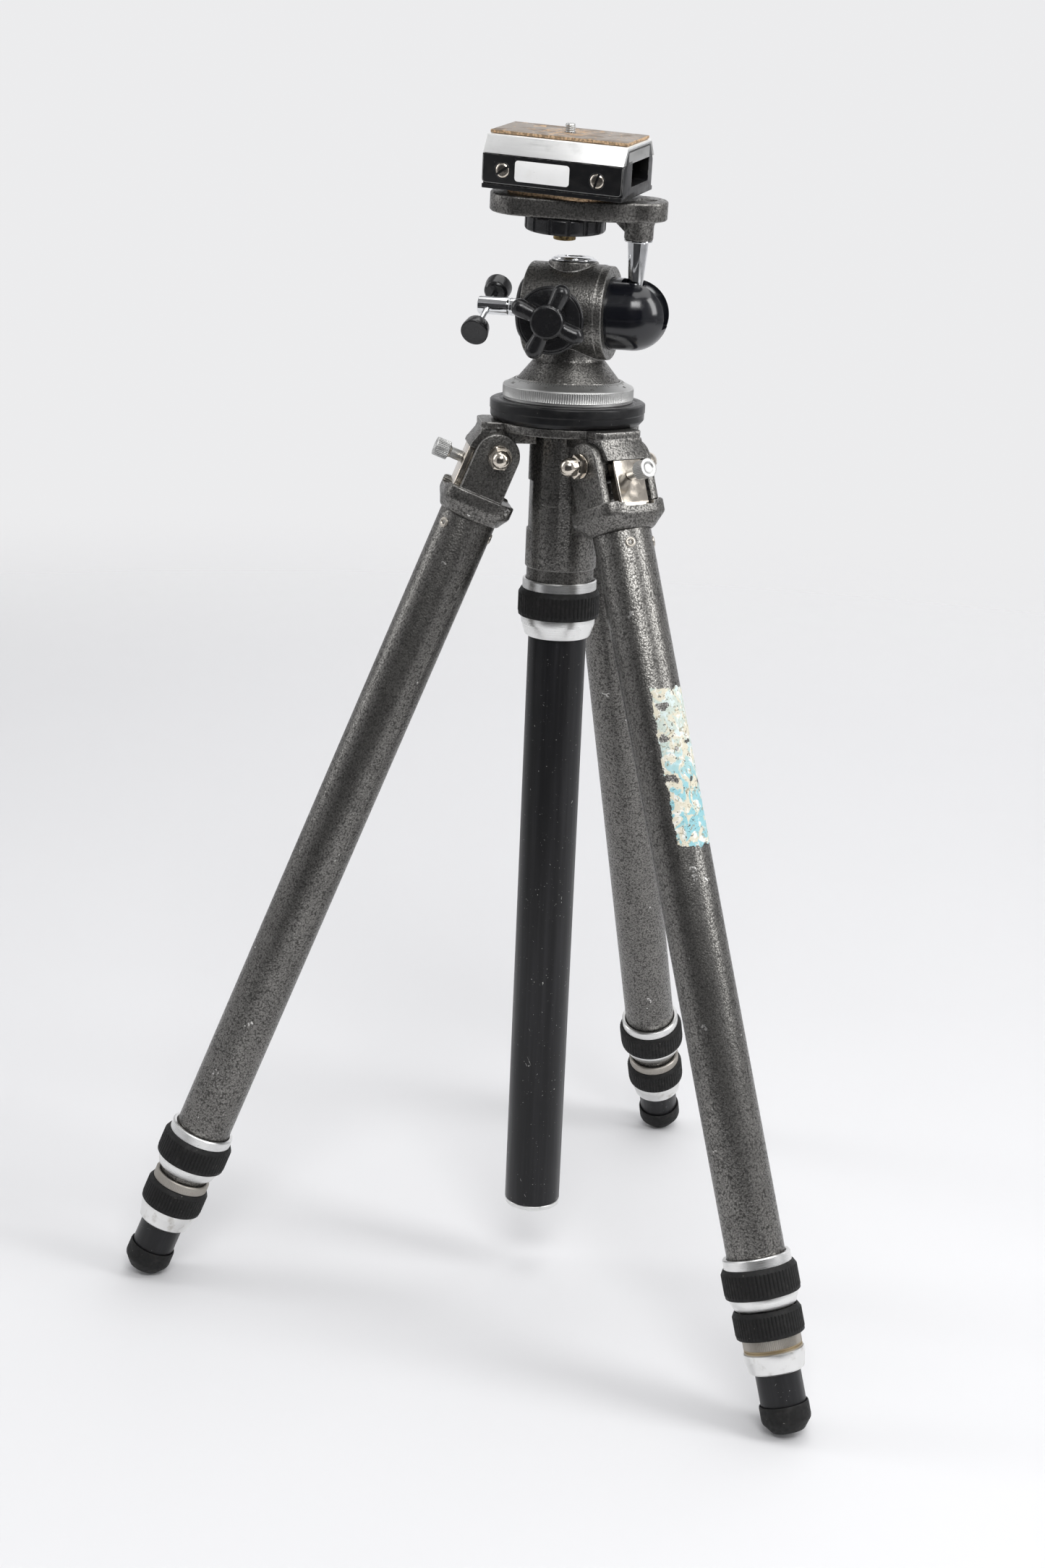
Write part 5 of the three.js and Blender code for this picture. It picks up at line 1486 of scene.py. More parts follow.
def block_body():
    shoulder = HOOD_LOW - HOOD_SKIRT - GAP
    top = BLOCK_TOP - HOOD_THICK - GAP
    top_half = BLOCK_DEEP - BEVEL_IN - HOOD_THICK - GAP
    lip = BLOCK_BOTTOM + COVER_BOTTOM - GAP
    outline = [
        (-BLOCK_DEEP, BLOCK_BOTTOM), (BLOCK_DEEP, BLOCK_BOTTOM), (BLOCK_DEEP, lip), (BODY_DEEP, lip),
        (BODY_DEEP, shoulder), (top_half, top), (-top_half, top), (-BODY_DEEP, shoulder), (-BODY_DEEP, lip),
        (-BLOCK_DEEP, lip),
    ]
    body = aimed(slab(rounded(outline, 0.5, 2), -BLOCK_HALF, BLOCK_HALF, 0.45), ALONG_X)
    step, roof = BLOCK_BOTTOM + CHANNEL_STEP, BLOCK_BOTTOM + CHANNEL_ROOF
    floor = BLOCK_BOTTOM + CHANNEL_FLOOR
    hollow = rounded([
        (CHANNEL_FRONT, floor), (CHANNEL_BACK, floor), (CHANNEL_BACK, roof), (CHANNEL_TOP_FRONT, roof),
        (CHANNEL_TOP_FRONT, step), (CHANNEL_FRONT, step),
    ], 1.2, 3)
    channel = aimed(slab(hollow, -BLOCK_HALF - 1, BLOCK_HALF + 1), ALONG_X)
    return carved(
        body, channel, rod(SCREW_R + GAP, BLOCK_BOTTOM - 1, BLOCK_BOTTOM + SCREW_BITE + GAP, steps=SMALL),
        rod(CAMERA_SCREW_R + GAP, step, BLOCK_TOP, steps=SMALL),
    )


def block_hood():
    inner, slope = BLOCK_DEEP - HOOD_THICK, BEVEL_IN / BEVEL_DOWN
    under = inner - BEVEL_IN + slope * HOOD_THICK
    outline = [
        (-BLOCK_DEEP, HOOD_LOW), (-inner, HOOD_LOW), (-under, BLOCK_TOP - HOOD_THICK),
        (under, BLOCK_TOP - HOOD_THICK), (inner, HOOD_LOW), (BLOCK_DEEP, HOOD_LOW),
        (BLOCK_DEEP - BEVEL_IN, BLOCK_TOP), (-BLOCK_DEEP + BEVEL_IN, BLOCK_TOP),
    ]
    hood = aimed(slab(rounded(outline, 0.6, 3, only=(0, 5, 6, 7)), -BLOCK_HALF, BLOCK_HALF, 0.3), ALONG_X)
    return carved(hood, rod(CAMERA_SCREW_R + GAP, HOOD_LOW, BLOCK_TOP + 1, steps=SMALL))


def front_cover():
    low, high = BLOCK_BOTTOM + COVER_BOTTOM, HOOD_LOW - GAP
    outline = rounded([(-BLOCK_HALF, low), (BLOCK_HALF, low), (BLOCK_HALF, high), (-BLOCK_HALF, high)],
                      COVER_CORNER, 6, only=(0, 1))
    return aimed(slab(outline, BLOCK_DEEP - COVER_THICK, BLOCK_DEEP, 0.35), ALONG_Y)


def cover_edge():
    """The bright worn line around the lower edge of the front cover."""
    low, high = BLOCK_BOTTOM + COVER_BOTTOM, HOOD_LOW - GAP - 0.6
    rim = rounded([(-BLOCK_HALF, high), (-BLOCK_HALF, low), (BLOCK_HALF, low), (BLOCK_HALF, high)],
                  COVER_CORNER, 6, closed=False, only=(1, 2))
    corners, faces = [], []
    for index, (x, z) in enumerate(rim):
        before = Vector(rim[max(0, index - 1)])
        after = Vector(rim[min(len(rim) - 1, index + 1)])
        side = Vector((-(after - before).y, (after - before).x)).normalized()
        for depth, rise in ((0.38, 0.02), (0.72, 0.02), (0.72, -0.1), (0.38, -0.1)):
            corners.append((x + side.x * depth, -BLOCK_DEEP - rise, z + side.y * depth))
    count = len(rim)
    for index in range(count - 1):
        for part in range(4):
            a, b = index * 4, (index + 1) * 4
            faces.append((a + part, b + part, b + (part + 1) % 4, a + (part + 1) % 4))
    faces += [(0, 1, 2, 3), tuple((count - 1) * 4 + part for part in (3, 2, 1, 0))]
    return corners, faces


def cover_screw(turn):
    """A slotted cheese-head screw with a rounded rim."""
    profile = rounded([
        (0, -1.4), (COVER_SCREW_R, -1.4), (COVER_SCREW_R, 0.35),
        (COVER_SCREW_R - 1.1, COVER_SCREW_RISE), (0, COVER_SCREW_RISE + 0.1),
    ], 0.4, 3, closed=False)
    slot = aimed(box((-6, 6), (-0.7, 0.7), (COVER_SCREW_RISE - 1.3, 3)), spin(turn))
    return carved(turned(profile, ROUND), slot)


def top_pad():
    low = BLOCK_TOP + GAP
    across = BLOCK_DEEP - BEVEL_IN - PAD_INSET
    half = BLOCK_HALF - PAD_END_INSET
    outline = []
    edges = (((-half, -across), (half, -across)), ((half, -across), (half, across)),
             ((half, across), (-half, across)), ((-half, across), (-half, -across)))
    for (x0, y0), (x1, y1) in edges:
        steps = 40 if abs(x1 - x0) > 1 else 20
        for step in range(steps):
            t = step / steps
            x, y = x0 + (x1 - x0) * t, y0 + (y1 - y0) * t
            wear = 0.35 * abs(noise.noise(Vector((x * 0.4, y * 0.4, 3))))
            outline.append((x * (1 - wear / half), y * (1 - wear / across)))
    pad = slab(outline, low, low + TOP_CORK, 0.35)
    return carved(pad, rod(CAMERA_SCREW_R + GAP, low - 1, low + TOP_CORK + 1, steps=SMALL))


def camera_screw():
    """A quarter-inch screw with its thread cut, and a plain round head inside the channel."""
    head_top = BLOCK_BOTTOM + CHANNEL_ROOF - GAP
    head_low = head_top - CAMERA_SCREW_HEAD
    tip = BLOCK_TOP + GAP + TOP_CORK + CAMERA_SCREW_RISE - 0.05
    profile = [(0, head_low), (CAMERA_SCREW_HEAD_R - 0.4, head_low), (CAMERA_SCREW_HEAD_R, head_low + 0.4),
               (CAMERA_SCREW_HEAD_R, head_top - 0.4), (CAMERA_SCREW_HEAD_R - 0.4, head_top),
               (CAMERA_SCREW_R, head_top)]
    thread = BLOCK_TOP - 1
    rows = int((tip - 0.8 - thread) / (THREAD_PITCH / 8))
    profile += [(CAMERA_SCREW_R, thread + row * THREAD_PITCH / 8) for row in range(rows + 1)]
    profile += [(CAMERA_SCREW_R - 0.6, tip), (0, tip)]

    def shape(radius, height, angle):
        if not thread < height < tip - 0.2:
            return radius
        wave = (height / THREAD_PITCH - angle / (2 * math.pi)) % 1
        return radius - THREAD_DEPTH * abs(2 * wave - 1)

    return turned(profile, 48, shape)


# ---------------------------------------------------------------- paper on the right leg

PAPER_TOP, PAPER_LENGTH, PAPER_FIRST, PAPER_LAST = 136.0, 107.0, -50.0, 56.0


def paper_remains():
    """A thin curved sheet on the tube, with torn edges and torn-out holes."""
    rows, columns = 150, 60
    outer, inner = UPPER_R + 0.16, UPPER_R + 0.02

    def kept(u, v):
        across = noise.noise(Vector((2.0, v * 13, 0.5))) * 0.05
        across += noise.noise(Vector((5.0, v * 45, 1.5))) * 0.025
        down = noise.noise(Vector((u * 5, 9.0, 0.5))) * 0.03
        down += noise.noise(Vector((u * 17, 7.0, 2.5))) * 0.014
        hole = noise.noise(Vector((u * 3.2, v * 15, 4.5))) + 0.5 * noise.noise(Vector((u * 8, v * 36, 8.5)))
        return 0.07 + across < u < 0.93 + across and 0.05 + down < v < 0.95 + down and hole < 0.52

    corners, faces, index = [], [], {}

    def corner(row, column, layer):
        key = (row, column, layer)
        if key not in index:
            angle = math.radians(PAPER_FIRST + (PAPER_LAST - PAPER_FIRST) * column / columns)
            radius = outer if layer else inner
            index[key] = len(corners)
            z = -PAPER_TOP - PAPER_LENGTH * row / rows
            corners.append((radius * math.cos(angle), radius * math.sin(angle), z))
        return index[key]

    cells = {
        (r, c) for r in range(rows) for c in range(columns) if kept((c + 0.5) / columns, (r + 0.5) / rows)
    }
    for r, c in sorted(cells):
        square = ((r, c), (r, c + 1), (r + 1, c + 1), (r + 1, c))
        faces.append(tuple(corner(*spot, 1) for spot in square))
        faces.append(tuple(corner(*spot, 0) for spot in reversed(square)))
        for side, other in enumerate(((r - 1, c), (r, c + 1), (r + 1, c), (r, c - 1))):
            if other not in cells:
                a, b = square[side], square[(side + 1) % 4]
                faces.append((corner(*a, 1), corner(*a, 0), corner(*b, 0), corner(*b, 1)))
    return corners, faces


# ---------------------------------------------------------------- operators


class TRIPOD_OT_yokes(bpy.types.Operator):
    """Cast yokes at the tops of the legs, with their hinge bolts"""

    bl_idname = "tripod.yokes"
    bl_label = "Yokes and hinge bolts"
    bl_options = {"REGISTER", "UNDO"}

    def execute(self, context):
        for side in SIDES:
            place = leg_place(side)
            add(f"{side}_yoke_casting", yoke_casting(), "hammertone_cast", place, f"{side}_yoke", sharp=30)
            add(f"{side}_dome_nuts", hinge_bolt(), "nickel", place, f"{side}_hinge_bolt", sharp=28)
        return {"FINISHED"}


class TRIPOD_OT_latches(bpy.types.Operator):
    """Spring latches with their pull knobs"""

    bl_idname = "tripod.latches"
    bl_label = "Latches"
    bl_options = {"REGISTER", "UNDO"}

    def execute(self, context):
        shape = context.scene.tripod_shape
        for side in SIDES:
            place = leg_place(side)
            add(f"{side}_latch_spring_plate", latch_plate(), "nickel", place, f"{side}_latch_plate")
            add(f"{side}_pull_knob", pull_knob(shape), "satin_aluminium", place, f"{side}_latch_knob")
        return {"FINISHED"}


class TRIPOD_OT_leg_tubes(bpy.types.Operator):
    """Three telescoping tubes in each leg, and the rivets below the yoke"""

    bl_idname = "tripod.leg_tubes"
    bl_label = "Leg tubes"
    bl_options = {"REGISTER", "UNDO"}

    def execute(self, context):
        for side in SIDES:
            place = leg_place(side)
            middle_end = NUT1_BOTTOM + MIDDLE_SHOWN[side] + NUT_OVERLAP
            lower_end = FOOT_TOP + FOOT_RIM - GAP
            upper = tube(UPPER_R, UPPER_TOP, UPPER_END - UPPER_TOP)
            middle_tube = tube(MIDDLE_R, middle_end - MIDDLE_LENGTH, MIDDLE_LENGTH)
            lower = tube(LOWER_R, lower_end - LOWER_LENGTH, LOWER_LENGTH)
            add(f"{side}_upper_leg_tube", upper, "hammertone", place, f"{side}_upper_tube")
            add(f"{side}_middle_leg_tube", middle_tube, "hammertone", place, f"{side}_middle_tube")
            add(f"{side}_lower_leg_tube", lower, "black_anodised", place, f"{side}_lower_tube")
            rivets = gathered([aimed(rivet(), rivet_place(angle)) for angle in RIVETS[side]])
            add(f"{side}_leg_rivets", rivets, "warm_aluminium", place, body=f"{side}_leg")
        return {"FINISHED"}


class TRIPOD_OT_leg_locks(bpy.types.Operator):
    """Twist locks of the legs: bright nuts and ribbed rubber grips"""

    bl_idname = "tripod.leg_locks"
    bl_label = "Leg locks"
    bl_options = {"REGISTER", "UNDO"}

    def execute(self, context):
        shape = context.scene.tripod_shape
        for side in SIDES:
            place = leg_place(side)
            top2 = NUT1_BOTTOM + MIDDLE_SHOWN[side]
            creep = GRIP_CREEP[side]
            first = (-NUT1_TOP, NUT1_LENGTH, UPPER_R + GAP)
            second = (-top2, NUT2_LENGTH, MIDDLE_R + GAP)
            step1, step2 = -UPPER_END - GAP, -top2 - NUT_OVERLAP - GAP
            nut1 = lock_nut(*first, MIDDLE_R + GAP, NUT1_WALL, NUT1_TAIL, step1, False, shape)
            nut2 = lock_nut(*second, LOWER_R + GAP, NUT2_WALL, NUT2_TAIL, step2, True, shape)
            grip1 = lock_grip(*first, NUT1_WALL, NUT1_TAIL, GRIP1_THICK, 0, shape)
            grip2 = lock_grip(*second, NUT2_WALL, NUT2_TAIL, GRIP2_THICK, creep, shape)
            add(f"{side}_upper_lock_nut", nut1, "bright_aluminium", place, f"{side}_first_nut")
            add(f"{side}_upper_lock_grip", grip1, "rubber", place, f"{side}_first_grip")
            add(f"{side}_lower_lock_nut", nut2, "stepped_aluminium", place, f"{side}_second_nut")
            add(f"{side}_lower_lock_grip", grip2, "rubber", place, f"{side}_second_grip")
        return {"FINISHED"}


class TRIPOD_OT_feet(bpy.types.Operator):
    """Rubber feet"""

    bl_idname = "tripod.feet"
    bl_label = "Feet"
    bl_options = {"REGISTER", "UNDO"}

    def execute(self, context):
        for side in SIDES:
            add(f"{side}_foot_tip", foot_tip(), "rubber", leg_place(side), f"{side}_foot")
        return {"FINISHED"}


class TRIPOD_OT_spider(bpy.types.Operator):
    """The casting that carries the legs and guides the column"""

    bl_idname = "tripod.spider"
    bl_label = "Spider"
    bl_options = {"REGISTER", "UNDO"}

    def execute(self, context):
        add("spider_casting", spider_casting(), "hammertone_cast", HUB, "spider", sharp=30)
        return {"FINISHED"}


class TRIPOD_OT_column(bpy.types.Operator):
    """Centre column with its lock, end cap and platform"""

    bl_idname = "tripod.column"
    bl_label = "Centre column"
    bl_options = {"REGISTER", "UNDO"}

    def execute(self, context):
        shape = context.scene.tripod_shape
        top = SLEEVE_BOTTOM - NECK_SHOWN - GAP
        step = SLEEVE_BOTTOM - NECK_SHOWN - NECK_HIDDEN - GAP
        first = (top, COLUMN_NUT_LENGTH, NECK_R + GAP)
        nut = lock_nut(*first, COLUMN_R + GAP, COLUMN_NUT_WALL, COLUMN_NUT_TAIL, step, False, shape)
        grip = lock_grip(*first, COLUMN_NUT_WALL, COLUMN_NUT_TAIL, COLUMN_GRIP_THICK, 0, shape)
        tube_top = PLATFORM_BOTTOM - GAP
        end = tube_top - COLUMN_LENGTH - GAP
        plug = COLUMN_R - COLUMN_WALL - GAP
        cap = turned(rounded([
            (0, end - COLUMN_CAP + 0.5), (COLUMN_R - 5, end - COLUMN_CAP + 0.5),
            (COLUMN_R - 4.5, end - COLUMN_CAP),
            (COLUMN_R, end - COLUMN_CAP), (COLUMN_R, end), (plug, end), (plug, end + PLUG), (0, end + PLUG),
        ], 0.6, 3, closed=False), ROUND)
        add("column_lock_nut", nut, "bright_aluminium", HUB, "column_nut")
        add("column_lock_grip", grip, "rubber", HUB, "column_grip")
        shaft = tube(COLUMN_R, -tube_top, COLUMN_LENGTH, COLUMN_WALL)
        add("column_shaft", shaft, "black_anodised", HUB, "column_tube")
        add("column_end_cap", cap, "bright_aluminium", HUB, "column_cap")
        add("platform_disc", platform_disc(), "black_paint", HUB, "platform")
        return {"FINISHED"}


class TRIPOD_OT_pan_ring(bpy.types.Operator):
    """Knurled ring with the pan scale"""

    bl_idname = "tripod.pan_ring"
    bl_label = "Pan ring"
    bl_options = {"REGISTER", "UNDO"}

    def execute(self, context):
        shape = context.scene.tripod_shape
        add("pan_scale_ring", pan_ring(shape), "satin_aluminium", HEAD, "pan_ring", sharp=40)
        add("pan_scale_marks", scale_marks(shape.scale_step), "scale_ink", HEAD, body="scale_ring")
        add("pan_scale_numbers", scale_numbers(), "scale_ink", HEAD, body="scale_ring")
        return {"FINISHED"}


class TRIPOD_OT_housing(bpy.types.Operator):
    """Head casting and its spirit level"""

    bl_idname = "tripod.housing"
    bl_label = "Head housing"
    bl_options = {"REGISTER", "UNDO"}

    def execute(self, context):
        add("head_casting", head_casting(), "hammertone_cast", HEAD, "head_housing", sharp=30)
        add("spirit_level_ring", level_ring(), "chrome", HEAD, "level_cap")
        low = BOSS_TOP + GAP + LEVEL_THICK - 0.9
        glass = turned([
            (0, low - 0.4), (6.5, low - 0.4), (6.5, low + 0.1),
            (5, low + 0.45), (2.5, low + 0.62), (0, low + 0.66),
        ], 48)
        add("spirit_level_glass", glass, "level_glass", HEAD, body="head")
        bubble = ring(2.1, 2.5, low + 0.5, low + 0.72, 0.05, 40)
        add("spirit_level_circle", bubble, "scale_ink", HEAD, body="head")
        return {"FINISHED"}


class TRIPOD_OT_star_knob(bpy.types.Operator):
    """Four-armed clamping knob"""

    bl_idname = "tripod.star_knob"
    bl_label = "Star knob"
    bl_options = {"REGISTER", "UNDO"}

    def execute(self, context):
        place = HEAD @ scaled(star_turn())
        add("star_knob_arms", star_form(), "bakelite", place, "star_knob", sharp=60)
        add("star_knob_skirt", star_skirt(), "bakelite", place, body="star_knob")
        return {"FINISHED"}


def scaled(place):
    """A place in millimetres, in metres."""
    moved = place.copy()
    moved.translation = place.translation * MM
    return moved


class TRIPOD_OT_barrel(bpy.types.Operator):
    """Turning barrel with the slot for the stem"""

    bl_idname = "tripod.barrel"
    bl_label = "Barrel"
    bl_options = {"REGISTER", "UNDO"}

    def execute(self, context):
        add("barrel_shell", barrel_form(), "gloss_black", BARREL, "barrel")
        add("barrel_left_cap", end_cap(), "black_paint", BARREL, "barrel_end_cap")
        return {"FINISHED"}


class TRIPOD_OT_lock_handle(bpy.types.Operator):
    """Locking rod with its sliding cross bar and two knobs"""

    bl_idname = "tripod.lock_handle"
    bl_label = "Locking handle"
    bl_options = {"REGISTER", "UNDO"}

    def execute(self, context):
        add("locking_rod", lock_rod(), "chrome", HANDLE, "lock_rod")
        rear = aimed(cross_knob(CROSS_REAR), shift(CROSS_X))
        front = aimed(cross_knob(CROSS_FRONT), Matrix.Rotation(math.pi, 4, "X"), shift(CROSS_X))
        add("rear_handle_knob", rear, "bakelite", HANDLE, "rear_cross_knob")
        add("front_handle_knob", front, "bakelite", HANDLE, "front_cross_knob")
        return {"FINISHED"}


class TRIPOD_OT_stem(bpy.types.Operator):
    """Tilting stem"""

    bl_idname = "tripod.stem"
    bl_label = "Stem"
    bl_options = {"REGISTER", "UNDO"}

    def execute(self, context):
        add("tilting_stem", stem_form(), "chrome", STEM, "stem")
        return {"FINISHED"}


class TRIPOD_OT_camera_plate(bpy.types.Operator):
    """Camera plate with its thumb wheel and fixing screw"""

    bl_idname = "tripod.camera_plate"
    bl_label = "Camera plate"
    bl_options = {"REGISTER", "UNDO"}

    def execute(self, context):
        screw = PLATE @ shift(SCREW_X * MM)
        add("plate_casting", plate_casting(), "hammertone_cast", PLATE, "camera_plate", sharp=30)
        low = PLATE_UNDER - PLATE_BOSS
        add(
            "plate_washer", rod(PLATE_BOSS_R - 0.1, low, low + 1.0, 0.3), "chrome", PLATE, body="camera_plate"
        )
        add("plate_thumb_wheel", wheel_form(), "bakelite", screw, "thumb_wheel")
        add("plate_fixing_screw", plate_screw_form(), "brass", screw, "plate_screw")
        return {"FINISHED"}


class TRIPOD_OT_adapter(bpy.types.Operator):
    """Adapter block: frame, hood, covers, cork, label and screws"""

    bl_idname = "tripod.adapter"
    bl_label = "Adapter block"
    bl_options = {"REGISTER", "UNDO"}

    def execute(self, context):
        add("block_frame", block_body(), "black_paint", BLOCK, "adapter_body")
        add("block_hood", block_hood(), "hood_aluminium", BLOCK, "adapter_hood")
        add("block_front_cover", front_cover(), "black_paint", BLOCK, "front_cover")
        add("block_cover_edge", cover_edge(), "satin_aluminium", BLOCK, body="adapter")
        add("block_top_pad", top_pad(), "worn_cork", BLOCK, "top_cork")
        add("camera_thread_screw", camera_screw(), "satin_aluminium", BLOCK, "camera_screw")
        seat_top = BLOCK_BOTTOM - 0.05
        washer = carved(
            slab(oblong((-36, 30), (-22, 22), 19, 12), PLATE_TOP + 0.05, seat_top, 0.3),
            rod(SCREW_R + GAP, PLATE_TOP - 1, BLOCK_BOTTOM + 1, steps=SMALL),
        )
        add("block_seat_cork", washer, "cork", BLOCK, body="adapter")
        for number, ((x, z), turn) in enumerate(zip(COVER_SCREWS, (0.62, 1.25))):
            sink = aimed(
                ring(COVER_SCREW_R + 0.05, COVER_SCREW_R + 0.75, 0.0, 0.1, 0.03, SMALL), shift(x, z)
            )
            sink = aimed(sink, shift(z=BLOCK_DEEP), ALONG_Y)
            add(f"block_screw_sink_{number + 1}", sink, "bakelite", BLOCK, body="adapter")
            head = Matrix.Translation(Vector((x, -BLOCK_DEEP, z)) * MM) @ ALONG_Y
            add(
                f"block_cover_screw_{number + 1}", cover_screw(turn), "nickel", BLOCK @ head, body="adapter"
            )
        label = aimed(
            slab(oblong(LABEL_X, LABEL_Z, LABEL_CORNER), BLOCK_DEEP, BLOCK_DEEP + LABEL_THICK, 0.06), ALONG_Y
        )
        add("block_blank_label", label, "white_label", BLOCK, body="adapter")
        return {"FINISHED"}


class TRIPOD_OT_paper(bpy.types.Operator):
    """Remains of a paper sticker on the right leg"""

    bl_idname = "tripod.paper"
    bl_label = "Torn paper"
    bl_options = {"REGISTER", "UNDO"}

    def execute(self, context):
        add("torn_paper_sticker", paper_remains(), "torn_paper", leg_place("right"), body="right_leg")
        return {"FINISHED"}


class TRIPOD_OT_stage(bpy.types.Operator):
    """Pale floor before a plain backdrop, soft light and the camera"""

    bl_idname = "tripod.stage"
    bl_label = "Stage"
    bl_options = {"REGISTER", "UNDO"}

    def execute(self, context):
        settings = context.scene.tripod_stage
        make_floor(settings)
        make_flags(settings)
        make_lights(context.scene, settings)
        make_camera(context.scene, settings)
        return {"FINISHED"}


def stage_mesh(name, rows, coat, closed=False):
    """A round stage piece through rows of (radius, height) in metres."""
    steps = 128
    corners = [
        (radius * math.cos(2 * math.pi * step / steps), radius * math.sin(2 * math.pi * step / steps), z)
        for radius, z in rows for step in range(steps)
    ]
    faces = [tuple(range(steps))] if closed else []
    for row in range(len(rows) - 1):
        a, b = row * steps, (row + 1) * steps
        for step in range(steps):
            after = (step + 1) % steps
            faces.append((a + step, b + step, b + after, a + after))
    mesh = bpy.data.meshes.new(name)
    mesh.from_pydata(corners, [], faces)
    mesh.shade_smooth()
    keep_place(mesh)
    mesh.materials.append(coat)
    piece = bpy.data.objects.new(name, mesh)
    bpy.context.scene.collection.objects.link(piece)
    return piece


def studio_paper(name, colour, fade=None):
    """Pale paper with a faint cloudiness; it may thin out between two distances from the middle."""
    coat = Coat(name, colour, 0.0, 0.7)
    coat.tint(coat.times(coat.band(coat.grain(400), 0.4, 0.7), 0.4), [part * 0.985 for part in colour])
    material = coat.done(Specular_IOR_Level=0.1)
    if fade:
        away = coat.node("VectorMath", {0: coat.place}, operation="LENGTH").outputs["Value"]
        clear = coat.node("BsdfTransparent").outputs[0]
        mix = coat.node("MixShader", {0: coat.band(away, *fade), 1: coat.shader.outputs[0], 2: clear})
        coat.feed(coat.tree.nodes["Material Output"].inputs["Surface"], mix.outputs[0])
    return material


def make_floor(settings):
    """A pale round floor that thins out into the backdrop, and a wall that only light and reflections see."""
    flat, bend, height = 3.0, 1.4, 4.0
    paper = studio_paper("studio_floor", settings.floor_colour, (1.4, 2.95))
    stage_mesh("studio_floor", [(0.02, 0.0), (1.2, 0.0), (flat, 0.0)], paper, closed=True)
    rows = [(flat, 0.0)]
    for step in range(1, 25):
        angle = math.pi / 2 * step / 24
        rows.append((flat + bend * math.sin(angle), bend * (1 - math.cos(angle))))
    rows.append((flat + bend, height))
    wall = stage_mesh("studio_wall", rows, studio_paper("studio_wall", settings.floor_colour))
    wall.visible_camera = False


def make_flag(name, corners, settings):
    """A dark card that only reflections see."""
    mesh = bpy.data.meshes.new(name)
    mesh.from_pydata(corners, [], [(0, 1, 2, 3)])
    keep_place(mesh)
    flag = bpy.data.objects.new(name, mesh)
    bpy.context.scene.collection.objects.link(flag)
    flag.visible_camera = False
    flag.visible_shadow = False
    flag.visible_diffuse = False
    coat = Coat(name, settings.flag_colour, 0.0, 0.8)
    coat.tint(
        coat.times(coat.band(coat.grain(60), 0.4, 0.7), 0.4), [part * 0.8 for part in settings.flag_colour]
    )
    mesh.materials.append(coat.done(Specular_IOR_Level=0.1))


def make_flags(settings):
    make_flag(
        "front_flag", [(-1.3, -2.1, 0.05), (2.4, -2.1, 0.05), (2.4, -2.1, 1.7), (-1.3, -2.1, 1.7)], settings
    )
    make_flag(
        "floor_flag", [(-1.2, -2.0, 0.02), (2.0, -2.0, 0.02), (1.5, -0.75, 0.02), (-0.6, -0.75, 0.02)], settings
    )


def soft_box(name, place, aim, width, height, power):
    light = bpy.data.lights.new(name, "AREA")
    light.shape = "RECTANGLE"
    light.size = width
    light.size_y = height
    light.energy = power
    lamp = bpy.data.objects.new(name, light)
    bpy.context.scene.collection.objects.link(lamp)
    lamp.location = place
    lamp.visible_camera = False
    lamp.rotation_euler = (Vector(aim) - Vector(place)).to_track_quat("-Z", "Y").to_euler()
    return lamp


def make_lights(scene, settings):
    world = bpy.data.worlds.new("studio_sky")
    scene.world = world
    scene.view_settings.view_transform = "Standard"
    world.use_nodes = True
    nodes, links = world.node_tree.nodes, world.node_tree.links
    sky = nodes["Background"]
    sky.inputs["Color"].default_value = (0.98, 0.985, 1.0, 1)
    sky.inputs["Strength"].default_value = settings.sky
    backdrop = nodes.new("ShaderNodeBackground")
    backdrop.inputs["Color"].default_value = (*settings.backdrop, 1)
    seen = nodes.new("ShaderNodeLightPath")
    both = nodes.new("ShaderNodeMixShader")
    links.new(seen.outputs["Is Camera Ray"], both.inputs[0])
    links.new(sky.outputs[0], both.inputs[1])
    links.new(backdrop.outputs[0], both.inputs[2])
    links.new(both.outputs[0], nodes["World Output"].inputs["Surface"])
    power = settings.key_power
    aim = (0, 0, 0.5)
    soft_box("overhead_box", (0.2, 0.3, 2.6), aim, 2.4, 2.0, power * 1.2)
    soft_box("front_box", (0.9, -1.7, 2.2), aim, 1.2, 0.8, power * 1.1)
    soft_box("right_box", (2.0, 0.1, 1.6), aim, 0.7, 1.8, power * 1.0)
    soft_box("left_box", (-2.0, -0.5, 1.5), aim, 0.6, 1.8, power * 0.35)
    soft_box("wall_box", (0.3, 2.0, 3.2), (-0.5, 4.4, 2.2), 2.6, 1.2, power * 2.9)


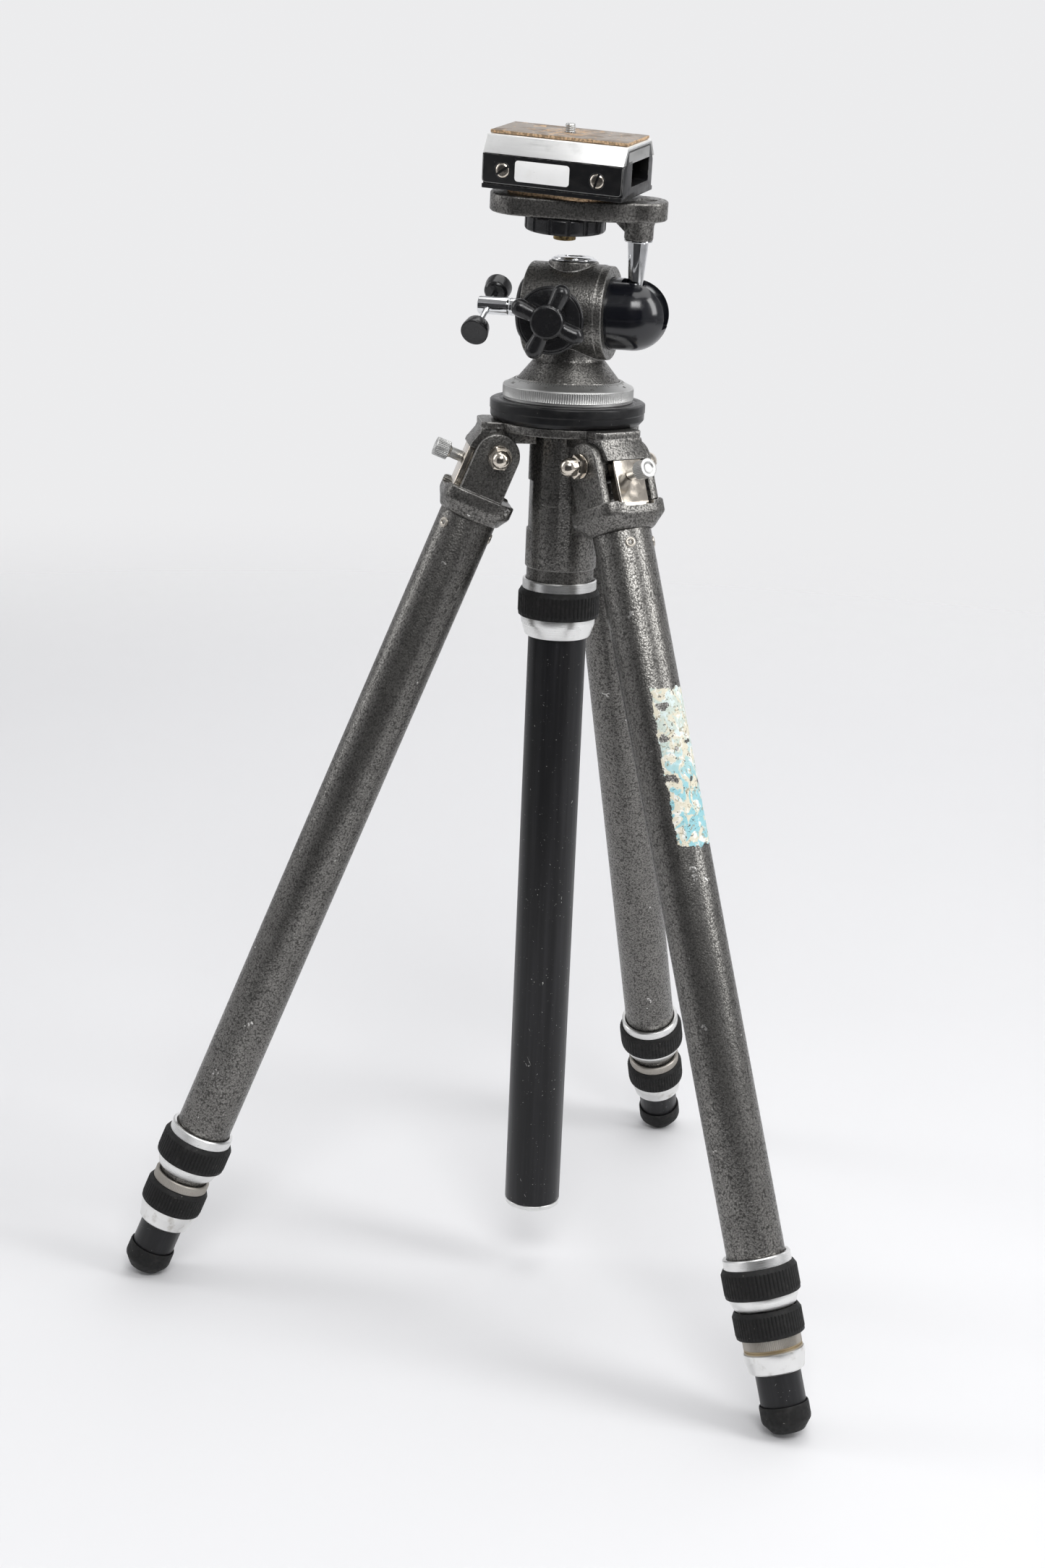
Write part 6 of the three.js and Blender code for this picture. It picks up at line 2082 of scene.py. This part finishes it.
def make_camera(scene, settings):
    data = bpy.data.cameras.new("view")
    data.lens = settings.lens
    data.sensor_width = 36
    camera = bpy.data.objects.new("view", data)
    scene.collection.objects.link(camera)
    turn = Matrix.Rotation(settings.camera_azimuth, 4, "Z")
    drop = Matrix.Rotation(math.pi / 2 - settings.camera_drop, 4, "X")
    roll = Matrix.Rotation(settings.camera_roll, 4, "Z")
    camera.matrix_world = Matrix.Translation(settings.camera_place) @ turn @ drop @ roll
    scene.camera = camera


OPERATORS = (
    TRIPOD_OT_stage, TRIPOD_OT_adapter, TRIPOD_OT_camera_plate, TRIPOD_OT_stem, TRIPOD_OT_barrel,
    TRIPOD_OT_lock_handle, TRIPOD_OT_star_knob, TRIPOD_OT_housing, TRIPOD_OT_pan_ring, TRIPOD_OT_column,
    TRIPOD_OT_spider, TRIPOD_OT_yokes, TRIPOD_OT_latches, TRIPOD_OT_leg_tubes, TRIPOD_OT_leg_locks,
    TRIPOD_OT_feet, TRIPOD_OT_paper,
)
SETTINGS = {"tripod_shape": TripodShape, "tripod_finish": TripodFinish, "tripod_stage": TripodStage}


class TRIPOD_PT_panel(bpy.types.Panel):
    """Sizes, finishes and pieces of the tripod"""

    bl_idname = "TRIPOD_PT_panel"
    bl_label = "Tripod"
    bl_space_type = "VIEW_3D"
    bl_region_type = "UI"
    bl_category = "Tripod"

    def draw(self, context):
        for name, group in SETTINGS.items():
            column = self.layout.column(align=True)
            for key in group.__annotations__:
                column.prop(getattr(context.scene, name), key)
        column = self.layout.column(align=True)
        for operator in OPERATORS:
            column.operator(operator.bl_idname)


CLASSES = (*SETTINGS.values(), *OPERATORS, TRIPOD_PT_panel)


def register():
    for item in CLASSES:
        bpy.utils.register_class(item)
    for name, group in SETTINGS.items():
        setattr(bpy.types.Scene, name, bpy.props.PointerProperty(type=group))


def unregister():
    for name in SETTINGS:
        delattr(bpy.types.Scene, name)
    for item in reversed(CLASSES):
        bpy.utils.unregister_class(item)


def main():
    register()
    for operator in OPERATORS:
        name = operator.bl_idname.split(".")[1]
        getattr(bpy.ops.tripod, name)()


if __name__ == "__main__":
    main()
